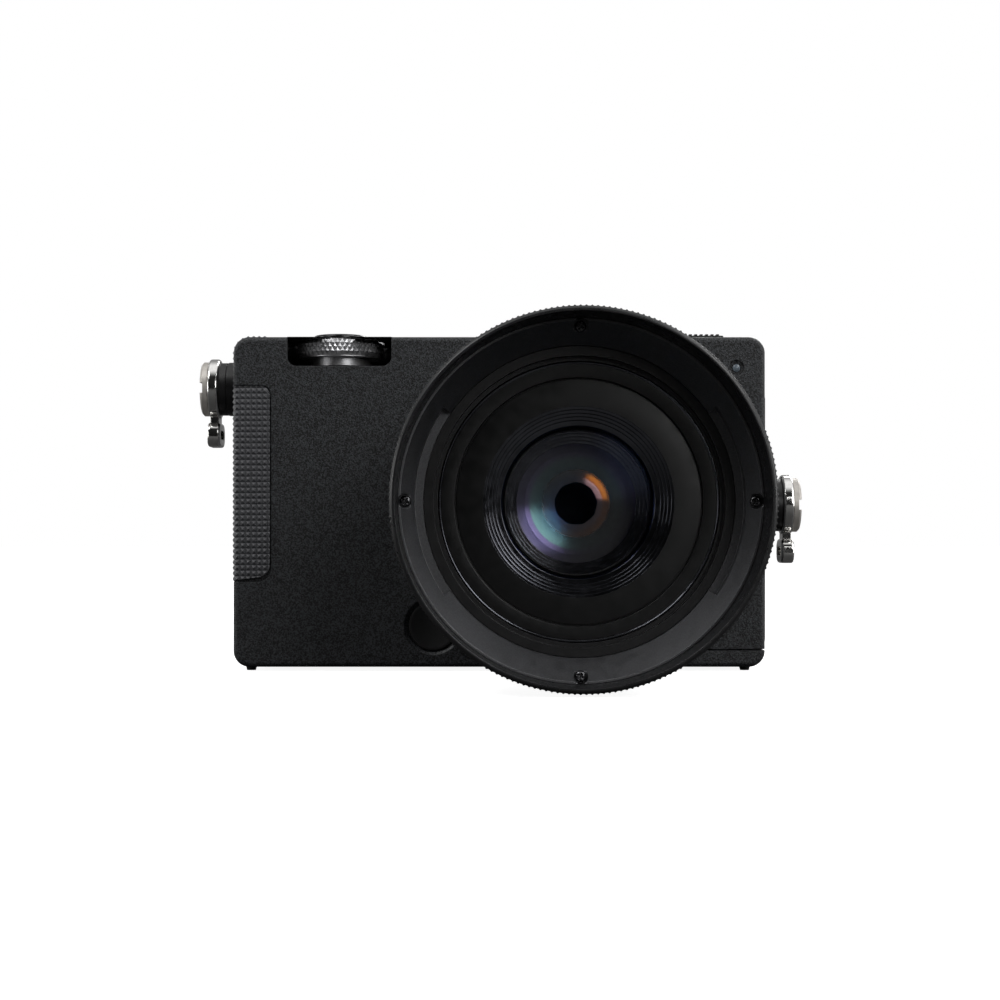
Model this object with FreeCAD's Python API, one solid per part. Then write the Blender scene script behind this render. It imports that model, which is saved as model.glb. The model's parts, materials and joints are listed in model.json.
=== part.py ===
import FreeCAD, Part
import math
import os

V = FreeCAD.Vector

# Compact full-frame mirrorless camera with a small prime lens and a round metal hood.
# Millimetres. +Z is up, the lens looks along -Y, and +X is on the right of someone facing the lens.
# The origin is the mouth of the tripod thread in the base, straight under the lens axis.

# Camera body, outside
BODY_LEFT = -71.2
BODY_WIDTH = 112.6
BODY_HEIGHT = 69.9
BODY_RIGHT = BODY_LEFT + BODY_WIDTH
CORNER_R = 3.4
FRONT_Y = -17.0
FRONT_COVER_DEPTH = 23.0
HEAT_SINK_DEPTH = 5.0
REAR_COVER_DEPTH = 11.3
SPLIT_Y = FRONT_Y + FRONT_COVER_DEPTH
REAR_SPLIT_Y = SPLIT_Y + HEAT_SINK_DEPTH
BACK_Y = REAR_SPLIT_Y + REAR_COVER_DEPTH
WALL = 1.8
FRONT_WALL = 2.0
FRONT_EDGE_R = 1.0
BACK_EDGE_R = 1.4
SEAM = 0.1
CLEAR = 0.15

# Heat sink frame with its cooling slots
HEAT_SINK_INSET = 1.2
HEAT_SINK_FRAME = 8.0
HEAT_SINK_SHEET = 1.6
FIN_SLOT = 1.3
FIN_PITCH = 2.5
FIN_DEPTH = 2.4
FIN_LAND = (1.0, 0.8)
FIN_CORNER = 6.0

# Lens mount
AXIS_Z = 34.0
MOUNT_HEIGHT = 5.0
FLANGE_Y = FRONT_Y - MOUNT_HEIGHT
MOUNT_RING_T = 1.6
MOUNT_RING_R = 30.6
MOUNT_THROAT_R = 25.8
MOUNT_BOSS_R = 31.2
LUG_R = 27.0
LUG_POCKET_R = 27.4
LUG_T = 1.4
LUG_COUNT = 4
LUG_ANGLE = 38.0
FLANGE_TO_SENSOR = 20.0
MOUNT_SCREW_PCR = 29.1
MOUNT_SCREW_R = 0.7
MOUNT_SCREW_HEAD_R = 1.3
MOUNT_SCREW_HEAD_H = 0.7
SENSOR_GLASS_DEPTH = 0.8
SENSOR_PLATE_Y = FLANGE_Y + FLANGE_TO_SENSOR + SENSOR_GLASS_DEPTH
SENSOR_PLATE = (60.0, 41.0)
SENSOR_POST_R = 2.2
SENSOR_POST = (27.6, 14.0)
SENSOR_PLATE_T = 1.2
SENSOR_PACKAGE = (42.0, 31.0, 1.6)
SENSOR_GLASS = (39.0, 27.0)
SENSOR_CHIPS = (24.0, 18.0, 1.0)

# Main circuit board, and the corner and size of each chip on it
BOARD_X = (-31.5, 31.0)
BOARD_Z = (8.0, 62.0)
BOARD_T = 1.6
CHIP_H = 1.0
CHIPS = (
    (-24.0, 50.0, 12.0, 9.0),
    (10.0, 14.0, 14.0, 14.0),
    (-20.0, 12.0, 10.0, 12.0),
    (14.0, 48.0, 9.0, 9.0),
)

# Dial and shutter button in the front left corner
DIAL_INSET = 22.0
DIAL_X = BODY_LEFT + DIAL_INSET
DIAL_SETBACK = 9.7
DIAL_Y = FRONT_Y + DIAL_SETBACK
DIAL_R = 9.4
DIAL_TEETH = 52
DIAL_TOOTH = 0.45
DIAL_KNURL_H = 3.5
DIAL_DISH_R = 8.2
DIAL_DISH_DEPTH = 1.35
DIAL_BEVEL = 0.5
DIAL_LIP_R = 8.7
DIAL_LIP_H = 0.3
DIAL_FOOT_R = 6.5
DIAL_FOOT_H = 1.4
DIAL_GAP = 0.35
WELL_OFFSET = 0.5
WELL_X = DIAL_X + WELL_OFFSET
WELL_R = 11.0
WELL_CORNER_R = 1.9
WELL_DEPTH = 6.2
WELL_WALL = 1.2
SHUTTER_R = 5.75
SHUTTER_PROUD = 1.05
SHUTTER_CAP_H = 2.2
SHUTTER_STEM_L = 2.35
SHUTTER_GAP = 0.35
SPINDLE_R = 3.0

# Small controls on the top
TOP_CONTROL_SETBACK = 10.5
TOP_CONTROL_Y = FRONT_Y + TOP_CONTROL_SETBACK
REC_INSET = 44.2
REC_X = BODY_LEFT + REC_INSET
REC_R = 3.4
REC_PROUD = 0.6
CINE_X = -9.0
CINE_SLOT_L = 11.0
CINE_TRAVEL = 4.6
POWER_INSET = 15.5
POWER_X = BODY_RIGHT - POWER_INSET
POWER_L = 15.2
POWER_TRAVEL = 3.6
POWER_PROUD = 1.05
RIDGE_H = 0.35
RIDGE_PITCH = 1.17
SLIDER_W = 5.0

# Lens release button on the front
RELEASE_X = -28.9
RELEASE_Z = 8.7
RELEASE_R = 5.1
RELEASE_RIM_R = 6.2
RELEASE_RIM_DEPTH = 0.7
RELEASE_SUNK = 0.15
RELEASE_DISH_R = 22.0
RELEASE_DISH_DEPTH = 0.5
LEVER_GAP = 0.9
LEVER_T = 0.8
LEVER_W = 3.6
LEVER_EYE_R = 2.4
LOCK_PIN_R = 1.2
LOCK_PIN_RADIUS = 28.4
LOCK_PIN_PROUD = 1.2
LOCK_TAIL_STEP = 0.2

# Focus lamp on the front, and the sound holes in the top
LAMP_INSET = 6.1
LAMP_DROP = 6.6
LAMP_X = BODY_RIGHT - LAMP_INSET
LAMP_Z = BODY_HEIGHT - LAMP_DROP
LAMP_R = 0.8
LAMP_RIM_R = 1.65
MIC_HOLE_R = 0.4
MIC_PITCH = 1.6
MIC_INSET = (8.3, 8.6)
MIC_FIRST_X = (BODY_LEFT + MIC_INSET[0], BODY_RIGHT - MIC_INSET[1])
MIC_SETBACK = 17.5
MIC_Y = FRONT_Y + MIC_SETBACK

# Rubber grip that wraps round the left side
GRIP_T = 0.7
GRIP_PROUD = 0.25
GRIP_FRONT_W = 8.0
GRIP_FRONT_RIGHT = BODY_LEFT + GRIP_FRONT_W
GRIP_DROP = 10.3
GRIP_TOP_Z = BODY_HEIGHT - GRIP_DROP
GRIP_BOTTOM_Z = 18.0
GRIP_TOP_R = 1.9
GRIP_BOTTOM_R = 2.8
GRIP_SIDE_Y = FRONT_Y + 2.2
GRIP_BACK_Y = SPLIT_Y - 2.0
GRIP_TOP_W = 7.0
GRIP_TOP_X = BODY_LEFT + GRIP_TOP_W

# Lower right corner cover and feet
CORNER_COVER_W = 27.4
CORNER_COVER_LEFT = BODY_RIGHT - CORNER_COVER_W
CORNER_COVER_TOP = 3.8
CORNER_SEAM = 0.3
FOOT_INSET = (3.3, 3.8)
FOOT_SETBACK = (5.0, 4.3)
FOOT_X = (BODY_LEFT + FOOT_INSET[0], BODY_RIGHT - FOOT_INSET[1])
FOOT_Y = (FRONT_Y + FOOT_SETBACK[0], BACK_Y - FOOT_SETBACK[1])
FOOT_R = 1.2
FOOT_H = 0.9
FOOT_PLUG_H = 0.6
BASE_SCREW_X = (-30.0, 9.0)
BASE_SCREW_SETBACK = (4.0, 5.3)
BASE_SCREW_Y = (FRONT_Y + BASE_SCREW_SETBACK[0], BACK_Y - BASE_SCREW_SETBACK[1])
BASE_SCREWS = tuple((x, y) for y in BASE_SCREW_Y for x in BASE_SCREW_X)
SCREW_R = 0.75
SCREW_HEAD_R = 1.5
SCREW_HEAD_H = 0.7
SCREW_CROSS_R = 1.1
SCREW_CROSS_W = 0.4
SCREW_CROSS_D = 0.35
# Threads in the base and the two sides
THREAD_R = 2.6
INSERT_R = 4.4
INSERT_LENGTH = 5.6
BOSS_WALL = 1.2
BOSS_FLOOR = 0.6
STRAP_SETBACK = 11.5
STRAP_Y = FRONT_Y + STRAP_SETBACK
STRAP_DROP = 10.3
STRAP_Z_LEFT = BODY_HEIGHT - STRAP_DROP
STRAP_Z_RIGHT = 34.5
COLLAR_R = 5.8
COLLAR_LEFT = 4.05
COLLAR_RIGHT = 4.7
COLLAR_GROOVE_AT = 0.55
COLLAR_GROOVE_W = 0.3
COLLAR_GROOVE_D = 0.35
STRAP_HEAD_R = 5.85
STRAP_HEAD_T = 1.55
STRAP_HEAD_BEVEL = 0.4
STRAP_SHANK_L = 8.0
STRAP_PLAY = 0.1
COIN_SLOT_W = 2.2
COIN_SLOT_D = 0.6
EYELET_T = 2.3
EYELET_R = 6.5
EYELET_HOLE_R = 3.2
EYELET_DROP = 12.6
EYELET_LOOP_W = 9.0
EYELET_LOOP_H = 5.2
EYELET_SLOT_W = 5.4
EYELET_SLOT_H = 1.9
EYELET_NECK_W = 4.6
EYELET_LOOP_T = 2.7

# Battery, its door and the door's catch
BATTERY_INSET = 7.2
BATTERY_SETBACK = 2.8
BATTERY_SIZE = (28.4, 15.8, 44.0)
BATTERY_X = (BODY_LEFT + BATTERY_INSET, BODY_LEFT + BATTERY_INSET + BATTERY_SIZE[0])
BATTERY_Y = (FRONT_Y + BATTERY_SETBACK, FRONT_Y + BATTERY_SETBACK + BATTERY_SIZE[1])
BATTERY_GAP = 0.3
DOOR_LAND = (0.4, 0.8)
DOOR_LAND_Y = 0.6
DOOR_X = (BATTERY_X[0] - DOOR_LAND[0], BATTERY_X[1] + DOOR_LAND[1])
DOOR_Y = (BATTERY_Y[0] - DOOR_LAND_Y, BATTERY_Y[1] + DOOR_LAND_Y)
DOOR_T = 1.6
LATCH_SIZE = (6.0, 7.0, 0.8)
LATCH_TRAVEL = 2.2

# Covers over the sockets on the right side
PORT_SETBACK = 2.2
PORT_W = 16.8
PORT_Y = (FRONT_Y + PORT_SETBACK, FRONT_Y + PORT_SETBACK + PORT_W)
PORT_UPPER_Z = (47.6, 57.4)
PORT_LOWER_Z = (5.3, 21.0)
PORT_COVER_T = 1.2
PORT_PROUD = 0.25
PORT_LAND = 1.4
PORT_RIDGE_GAP = 0.3
PORT_CORNER_R = 0.8

# Socket block behind them: body width, body height, opening width, height and corner radius
PORT_BLOCK_DEPTH = 8.0
PORT_BOARD_T = 1.2
PORT_BOARD_HALF_W = 7.0
PORT_BOARD_MARGIN = (0.3, 2.6)
JACK_SOCKET = (6.0, 5.8, 3.5, 3.5, 1.75)
WIDE_SOCKET = (11.8, 4.4, 10.2, 2.8, 0.6)
SMALL_SOCKET = (9.0, 3.4, 7.8, 2.2, 0.9)
WIDE_SOCKET_RISE = 10.9
SMALL_SOCKET_RISE = 3.6
SOCKET_DEPTH = 5.0

# Screen and controls on the back
GLASS_INSET = 3.0
GLASS_DROP = 4.3
GLASS_RISE = 13.6
GLASS_W = 72.4
GLASS_X = (BODY_RIGHT - GLASS_INSET - GLASS_W, BODY_RIGHT - GLASS_INSET)
GLASS_Z = (GLASS_RISE, BODY_HEIGHT - GLASS_DROP)
GLASS_T = 1.7
GLASS_PROUD = 0.9
GLASS_LAND = 2.0
GLASS_CORNER_R = 1.5
REAR_DIAL_OFFSET = 0.4
REAR_DIAL_X = (BODY_LEFT + GLASS_X[0]) / 2 - REAR_DIAL_OFFSET
REAR_DIAL_Z = 35.0
REAR_DIAL_R = 10.4
REAR_DIAL_TEETH = 64
REAR_DIAL_TOOTH = 0.3
REAR_DIAL_H = 2.6
REAR_DIAL_PROUD = 1.5
OK_R = 4.2
ROUND_BUTTON_R = 2.5
AEL_GAP = 3.5
AEL_DROP = 12.4
ROUND_BUTTON_SPREAD = 6.5
ROUND_BUTTON_DROP = 6.2
ROUND_BUTTON_Z = REAR_DIAL_Z - REAR_DIAL_R - ROUND_BUTTON_DROP
ROUND_BUTTONS = {
    "ael_button": (GLASS_X[0] - AEL_GAP - ROUND_BUTTON_R, BODY_HEIGHT - AEL_DROP),
    "qs_button": (REAR_DIAL_X - ROUND_BUTTON_SPREAD, ROUND_BUTTON_Z),
    "menu_button": (REAR_DIAL_X + ROUND_BUTTON_SPREAD, ROUND_BUTTON_Z),
}
BAR_BUTTON_SIZE = (8.6, 3.4)
BAR_BUTTON_Z = 7.6
BAR_BUTTON_INSET = 10.4
BAR_BUTTON_PITCH = 16.0
BAR_BUTTON_NAMES = ("play_button", "display_button", "color_button", "mode_button")
BAR_BUTTON_RIGHT = BODY_RIGHT - BAR_BUTTON_INSET
BAR_BUTTONS = {n: BAR_BUTTON_RIGHT - BAR_BUTTON_PITCH * i for i, n in enumerate(BAR_BUTTON_NAMES)}
BUTTON_PROUD = 0.7
BUTTON_LENGTH = 2.6
THUMB_INSET = 3.0
THUMB_DROP = 3.3
THUMB_SIZE = (23.2, 16.6)
THUMB_X = (BODY_LEFT + THUMB_INSET, BODY_LEFT + THUMB_INSET + THUMB_SIZE[0])
THUMB_Z = (BODY_HEIGHT - THUMB_DROP - THUMB_SIZE[1], BODY_HEIGHT - THUMB_DROP)
THUMB_CORNER_R = 2.5
THUMB_EDGE_R = 0.5
THUMB_RECESS = 0.5
THUMB_T = 1.3

# Lens barrel, from the flange forward
BAYONET_T = 2.2
BAYONET_OUT_R = 30.2
BAYONET_TUBE_R = 25.5
BAYONET_BORE_R = 23.6
BASE_BARREL_L = 8.8
BARREL_R = 31.2
SLEEVE_R = 28.5
SLEEVE_BORE_R = 26.0
RING_CLEAR = 0.2
APERTURE_RING_L = 7.8
COLLAR_RING_L = 3.7
FOCUS_RING_L = 13.5
RING_GAP = 0.3
GRIP_RING_R = 32.0
GRIP_RING_TOOTH = 0.5
APERTURE_TEETH = 96
FOCUS_TEETH = 120
SWITCH_Y = (-32.0, -25.4)
SWITCH_HALF_Z = 2.3
SWITCH_KNOB_L = 3.2
SWITCH_PROUD = 0.7
SWITCH_DEPTH = 1.6
LENS_LENGTH = 46.2
FRONT_BARREL_R = 28.85
FRONT_BARREL_BACK_R = 30.4
FRONT_BARREL_BACK_L = 2.8
FILTER_R = 27.1
FILTER_L = 2.1
LENS_FRONT_Y = FLANGE_Y - LENS_LENGTH

# Plates and baffle round the front glass
PLATE_OUT_R = 26.2
PLATE_STEP_R = 23.1
PLATE_IN_R = 17.9
PLATE_SINK = 0.1
PLATE_Y = LENS_FRONT_Y + FILTER_L + PLATE_SINK
PLATE_STEP = 0.5
PLATE_SKIRT_L = 6.0
PLATE_SKIRT_T = 1.6
BAFFLE_STEPS = 3
BAFFLE_RADIAL = 0.75
BAFFLE_AXIAL = 0.9
STOP_DEPTH = 1.3
STOP_T = 0.8
GLASS_STOP_R = 14.3
FRONT_GLASS_R = 14.7
FRONT_GLASS_EDGE = 2.2
FRONT_GLASS_CROWN = 1.9
REAR_GLASS_R = 12.8
REAR_GLASS_L = 6.0
REAR_CELL_BACK_Y = -36.0

# Iris
BLADE_COUNT = 9
BLADE_T = 0.12
BLADE_PITCH = 0.15
BLADE_IN_R = 8.5
BLADE_OUT_R = 16.3
BLADE_SPAN = 125.0
BLADE_PIVOT_R = 17.1
BLADE_EAR_R = 0.9
BLADE_PIN_R = 0.35
BLADE_HOLE_R = 0.45
BLADE_CLOSED_BY = 16.0
IRIS_Y = -50.0
IRIS_OPEN_R = 11.8
IRIS_POCKET_R = 18.4
IRIS_FRONT_GAP = 0.35
IRIS_STEPS = ((12.4, 0.9), (13.0, 1.1), (13.6, 0.0))
IRIS_FIRST_ANGLE = 10.0
REAR_CELL_WALL = 2.2
REAR_CELL_LIP = 0.8

# Hood
HOOD_FRONT_Y = -87.0
HOOD_LIP_R = 33.25
HOOD_IN_R = 33.35
HOOD_KNURL_R = 34.25
HOOD_KNURL_TOOTH = 0.35
HOOD_TEETH = 210
HOOD_KNURL_L = 9.2
HOOD_LIP_L = 0.5
HOOD_PLAIN_R = 34.0
HOOD_BACK_Y = -68.6
CONE_FRONT_Y = -75.0
CONE_BACK_Y = -69.0
CONE_IN_R = 28.95
HOOD_SLEEVE_R = 31.0
HOOD_SLEEVE_BACK_Y = -62.6
HOOD_FLANGE_T = 1.6
HOOD_SCREW_PCR = 32.0
HOOD_SCREW_HEAD_R = 1.05
HOOD_SCREW_RECESS_R = 1.4
HOOD_SCREW_FLOOR_Y = -72.4
HOOD_SCREW_R = 0.5
HOOD_SCREW_HEAD_H = 0.9
HOOD_SCREW_CROSS = (1.5, 0.34, 0.5)
HOOD_LUG_Y = (-67.0, -65.6)
HOOD_GROOVE_Y = (-67.3, -65.3)
HOOD_LUG_OUT_R = 29.6
HOOD_LUG_HALF_ANGLE = 18.0
HOOD_LUG_GROOVE_R = 29.9
HOOD_CUT_OUT_R = 30.5
HOOD_CUT_HALF_ANGLE = 34.6


def box(x, y, z):
    """Block between the pairs x, y and z."""
    size = [b - a for a, b in (x, y, z)]
    return Part.makeBox(size[0], size[1], size[2], V(x[0], y[0], z[0]))


def cyl_x(r, x0, x1, y, z):
    return Part.makeCylinder(r, x1 - x0, V(x0, y, z), V(1, 0, 0))


def cyl_y(r, y0, y1, x=0.0, z=AXIS_Z):
    return Part.makeCylinder(r, y1 - y0, V(x, y0, z), V(0, 1, 0))


def cyl_z(r, z0, z1, x, y):
    return Part.makeCylinder(r, z1 - z0, V(x, y, z0), V(0, 0, 1))


def fuse(first, *others):
    """One clean solid from touching pieces."""
    return first.multiFuse(list(others)).removeSplitter()


def cut_all(solid, tools):
    return solid.cut(Part.makeCompound(list(tools)))


def turned(points):
    """Ring or disc turned about the lens axis from (radius, y) points."""
    corners = [V(r, y, AXIS_Z) for r, y in points]
    face = Part.Face(Part.makePolygon(corners + corners[:1]))
    return face.revolve(V(0, 0, AXIS_Z), V(0, 1, 0), 360)


def tube_y(r_out, r_in, y0, y1, x=0.0, z=AXIS_Z):
    return cyl_y(r_out, y0, y1, x, z).cut(cyl_y(r_in, y0 - 1, y1 + 1, x, z))


def arc_through(centre, r, a0, a1, point):
    """Arc from angle a0 to a1, in degrees, where point maps flat coordinates into space."""
    angles = [math.radians(a) for a in (a0, (a0 + a1) / 2, a1)]
    flat = [(centre[0] + r * math.cos(a), centre[1] + r * math.sin(a)) for a in angles]
    return Part.Arc(*[point(u, v) for u, v in flat]).toShape()


def rounded_wire(u, v, radii, point):
    """Rounded rectangle between the pairs u and v; radii run anticlockwise from the low corner."""
    corners = [(u[0], v[0]), (u[1], v[0]), (u[1], v[1]), (u[0], v[1])]
    inward = [(1, 1), (-1, 1), (-1, -1), (1, -1)]
    starts = (180, 270, 0, 90)
    edges = []
    ends = []
    for (cu, cv), (su, sv), r, a in zip(corners, inward, radii, starts):
        centre = (cu + su * r, cv + sv * r)
        arc = arc_through(centre, r, a, a + 90, point)
        edges.append(arc)
        begin, finish = math.radians(a), math.radians(a + 90)
        ends.append(
            (
                point(centre[0] + r * math.cos(begin), centre[1] + r * math.sin(begin)),
                point(centre[0] + r * math.cos(finish), centre[1] + r * math.sin(finish)),
            )
        )
    wire = []
    for i, arc in enumerate(edges):
        wire.append(arc)
        start, stop = ends[i][1], ends[(i + 1) % 4][0]
        if start.distanceToPoint(stop) > 1e-6:
            wire.append(Part.makeLine(start, stop))
    return Part.Wire(wire)


def rounded_y(x, z, radii, y0, y1):
    """Rounded rectangle in X and Z, extruded along Y. radii is one number or four."""
    four = radii if isinstance(radii, tuple) else (radii,) * 4
    wire = rounded_wire(x, z, four, lambda u, v: V(u, y0, v))
    return Part.Face(wire).extrude(V(0, y1 - y0, 0))


def rounded_z(x, y, r, z0, z1):
    wire = rounded_wire(x, y, (r,) * 4, lambda u, v: V(u, v, z0))
    return Part.Face(wire).extrude(V(0, 0, z1 - z0))


def rounded_x(y, z, r, x0, x1):
    wire = rounded_wire(y, z, (r,) * 4, lambda u, v: V(x0, u, v))
    return Part.Face(wire).extrude(V(x1 - x0, 0, 0))


def edges_on_y(solid, y):
    """Edges that lie wholly in the plane at y."""
    box_of = [(e, e.BoundBox) for e in solid.Edges]
    return [e for e, b in box_of if abs(b.YMin - y) < 1e-4 and abs(b.YMax - y) < 1e-4]


def edges_across_x(solid):
    """Edges that lie in a plane of constant X."""
    return [e for e in solid.Edges if e.BoundBox.XLength < 1e-4]


def toothed(r_tip, depth, count, r_in, y0, y1, x=0.0, z=AXIS_Z):
    """Straight-knurled ring about a Y axis, with flat-sided teeth."""
    points = []
    for i in range(count):
        for share, r in ((0.0, r_tip - depth), (0.5, r_tip)):
            a = 2 * math.pi * (i + share) / count
            points.append(V(x + r * math.cos(a), y0, z + r * math.sin(a)))
    outer = Part.makePolygon(points + points[:1])
    hole = Part.Wire(Part.makeCircle(r_in, V(x, y0, z), V(0, 1, 0)))
    ring = Part.Face(outer).cut(Part.Face(hole))
    return ring.extrude(V(0, y1 - y0, 0)).Solids[0]


def sector(r_in, r_out, y0, y1, middle, half):
    """Part of a tube about the lens axis, centred on an angle in degrees from +X towards +Z."""
    a0, a1 = middle - half, middle + half

    def point(u, v):
        return V(u, y0, AXIS_Z + v)

    def at(r, a):
        return point(r * math.cos(math.radians(a)), r * math.sin(math.radians(a)))

    wire = Part.Wire(
        [
            arc_through((0, 0), r_out, a0, a1, point),
            Part.makeLine(at(r_out, a1), at(r_in, a1)),
            arc_through((0, 0), r_in, a1, a0, point),
            Part.makeLine(at(r_in, a0), at(r_out, a0)),
        ]
    )
    return Part.Face(wire).extrude(V(0, y1 - y0, 0))


def body_block(grow, y0, y1, r=None):
    """The body's outline, grown by a distance, from y0 to y1."""
    x = (BODY_LEFT - grow, BODY_RIGHT + grow)
    z = (-grow, BODY_HEIGHT + grow)
    return rounded_y(x, z, CORNER_R + grow if r is None else r, y0, y1)


def inner_radius():
    return max(CORNER_R - WALL, 0.4)


# Regions of the front cover that other pieces fill


def grip_region():
    strip = rounded_y(
        (BODY_LEFT - 5.0, GRIP_FRONT_RIGHT),
        (GRIP_BOTTOM_Z, GRIP_TOP_Z),
        (0.5, GRIP_BOTTOM_R, GRIP_TOP_R, 0.5),
        FRONT_Y - 1.0,
        GRIP_SIDE_Y + 0.5,
    )
    wrap_z = (GRIP_BOTTOM_Z, BODY_HEIGHT + 5.0)
    wrap = box((BODY_LEFT - 5.0, GRIP_TOP_X), (GRIP_SIDE_Y, GRIP_BACK_Y), wrap_z)
    return fuse(strip, wrap)


def grip_core():
    """The body shrunk to the floor of the grip's recess."""
    core = body_block(-GRIP_T, FRONT_Y + GRIP_T, SPLIT_Y + 1.0)
    return core.makeFillet(FRONT_EDGE_R - 0.4, edges_on_y(core, FRONT_Y + GRIP_T))


def corner_region(shrink):
    return box(
        (CORNER_COVER_LEFT + shrink, BODY_RIGHT + 1.0),
        (FRONT_Y - 1.0, SPLIT_Y + 1.0),
        (-1.0, CORNER_COVER_TOP - shrink),
    )


def dial_well():
    """Free space round the dial, open to the top and to the front."""
    floor_z = BODY_HEIGHT - WELL_DEPTH
    pocket = cyl_z(WELL_R, floor_z, BODY_HEIGHT + 2.0, WELL_X, DIAL_Y)
    window = rounded_y(
        (WELL_X - WELL_R, WELL_X + WELL_R),
        (floor_z, BODY_HEIGHT + 4.0),
        (WELL_CORNER_R, WELL_CORNER_R, 0.5, 0.5),
        FRONT_Y - 1.0,
        DIAL_Y,
    )
    return fuse(pocket, window)


def dial_well_casting():
    """Walls and floor under the well."""
    z = (BODY_HEIGHT - WELL_DEPTH - WELL_WALL, BODY_HEIGHT - WALL / 2)
    grow = WELL_R + WELL_WALL
    drum = cyl_z(grow, z[0], z[1], WELL_X, DIAL_Y)
    front = box((WELL_X - grow, WELL_X + grow), (FRONT_Y + FRONT_WALL / 2, DIAL_Y), z)
    inside = body_block(-WALL / 2, FRONT_Y + FRONT_WALL / 2, SPLIT_Y)
    return fuse(drum, front).common(inside)


def sensor_posts():
    posts = []
    for sx in (-1, 1):
        for sz in (-1, 1):
            x, z = sx * SENSOR_POST[0], AXIS_Z + sz * SENSOR_POST[1]
            posts.append(cyl_y(SENSOR_POST_R, FRONT_Y + FRONT_WALL / 2, SENSOR_PLATE_Y, x, z))
    return posts


def shell(y0, y1, closed_y, edge_r, floor):
    """Rounded box without one end: closed_y is the closed end, with a rounded edge."""
    solid = body_block(0.0, y0, y1)
    solid = solid.makeFillet(edge_r, edges_on_y(solid, closed_y))
    low = y0 + floor if closed_y == y0 else y0 - 1.0
    high = y1 - floor if closed_y == y1 else y1 + 1.0
    return solid.cut(body_block(-WALL, low, high, inner_radius()))


def button_hole_y(r, x, z, y0, y1):
    return cyl_y(r + CLEAR, y0, y1, x, z)


def insert_boss(side):
    """Material round a side thread, inside the wall."""
    z = STRAP_Z_LEFT if side < 0 else STRAP_Z_RIGHT
    face = BODY_LEFT if side < 0 else BODY_RIGHT
    inner = face - side * (INSERT_LENGTH + BOSS_FLOOR)
    x0, x1 = sorted((face - side * WALL / 2, inner))
    return cyl_x(INSERT_R + BOSS_WALL, x0, x1, STRAP_Y, z)


def front_cover():
    cover = shell(FRONT_Y, SPLIT_Y, FRONT_Y, FRONT_EDGE_R, FRONT_WALL)
    boss = cyl_y(MOUNT_BOSS_R, FLANGE_Y + MOUNT_RING_T, FRONT_Y + FRONT_WALL)
    tripod = cyl_z(INSERT_R + BOSS_WALL, WALL / 2, INSERT_LENGTH + BOSS_FLOOR, 0.0, 0.0)
    guide_y = (FRONT_Y + FRONT_WALL / 2, FRONT_Y + FRONT_WALL + 0.8)
    lock_guide = cyl_y(LOCK_PIN_R + 0.9, *guide_y, *lock_pin_place())
    bosses = [tripod, insert_boss(-1), insert_boss(1), lock_guide, *sensor_posts()]
    cover = fuse(cover, boss, dial_well_casting(), port_ridge(), *bosses)
    top = BODY_HEIGHT
    cuts = [
        cyl_y(MOUNT_THROAT_R + 0.2, FLANGE_Y - 1.0, FRONT_Y + 8.0),
        cyl_y(LUG_POCKET_R, FLANGE_Y - 1.0, FLANGE_Y + MOUNT_RING_T + LUG_T + 1.0),
        dial_well(),
        cyl_z(SPINDLE_R + CLEAR, top - WELL_DEPTH - 3.0, top - WELL_DEPTH + 1.0, DIAL_X, DIAL_Y),
        cyl_z(REC_R + CLEAR, top - WALL - 1.0, top + 1.0, REC_X, TOP_CONTROL_Y),
        slider_slot(CINE_X, CINE_SLOT_L),
        slider_slot(POWER_X - POWER_TRAVEL / 2, POWER_L + POWER_TRAVEL + 2 * CLEAR),
        button_hole_y(RELEASE_R, RELEASE_X, RELEASE_Z, FRONT_Y - 1.0, FRONT_Y + FRONT_WALL + 1.0),
        release_rim(),
        cyl_y(LOCK_PIN_R + CLEAR, FLANGE_Y, FRONT_Y + FRONT_WALL + 2.0, *lock_pin_place()),
        cyl_y(LAMP_RIM_R, FRONT_Y - 1.0, FRONT_Y + 0.5, LAMP_X, LAMP_Z),
        cyl_y(LAMP_R + 0.05, FRONT_Y - 1.0, FRONT_Y + FRONT_WALL + 1.0, LAMP_X, LAMP_Z),
        cyl_x(COLLAR_R + 0.1, BODY_RIGHT, BODY_RIGHT + 1.0, STRAP_Y, STRAP_Z_RIGHT),
        grip_region().cut(grip_core()),
        corner_region(0.0),
        door_opening(),
        cyl_z(INSERT_R, -1.0, INSERT_LENGTH + 2.0, 0.0, 0.0),
        *[port_opening(z) for z in (PORT_UPPER_Z, PORT_LOWER_Z)],
        *[side_insert_hole(side) for side in (-1, 1)],
        *[foot_hole(x, FOOT_Y[0]) for x in FOOT_X[:1]],
        *[screw_hole(x, y) for x, y in BASE_SCREWS[:2]],
        *mic_holes(),
    ]
    return cut_all(cover, cuts)


def release_rim():
    """Shallow dish round the lens release button."""
    start = V(RELEASE_X, FRONT_Y - 0.1, RELEASE_Z)
    return Part.makeCone(RELEASE_RIM_R + 0.1, RELEASE_R + CLEAR, RELEASE_RIM_DEPTH + 0.1, start, V(0, 1, 0))


def slider_slot(centre_x, length):
    x = (centre_x - length / 2, centre_x + length / 2)
    y = (TOP_CONTROL_Y - SLIDER_W / 2 - CLEAR, TOP_CONTROL_Y + SLIDER_W / 2 + CLEAR)
    return rounded_z(x, y, 1.0, BODY_HEIGHT - 0.8, BODY_HEIGHT + 1.0)


def mic_holes():
    """Two groups of three sound holes in the top."""
    holes = []
    for first in MIC_FIRST_X:
        for i in range(3):
            x = first + MIC_PITCH * (i - 1)
            holes.append(cyl_z(MIC_HOLE_R, BODY_HEIGHT - WALL - 1.0, BODY_HEIGHT + 1.0, x, MIC_Y))
    return holes


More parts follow.
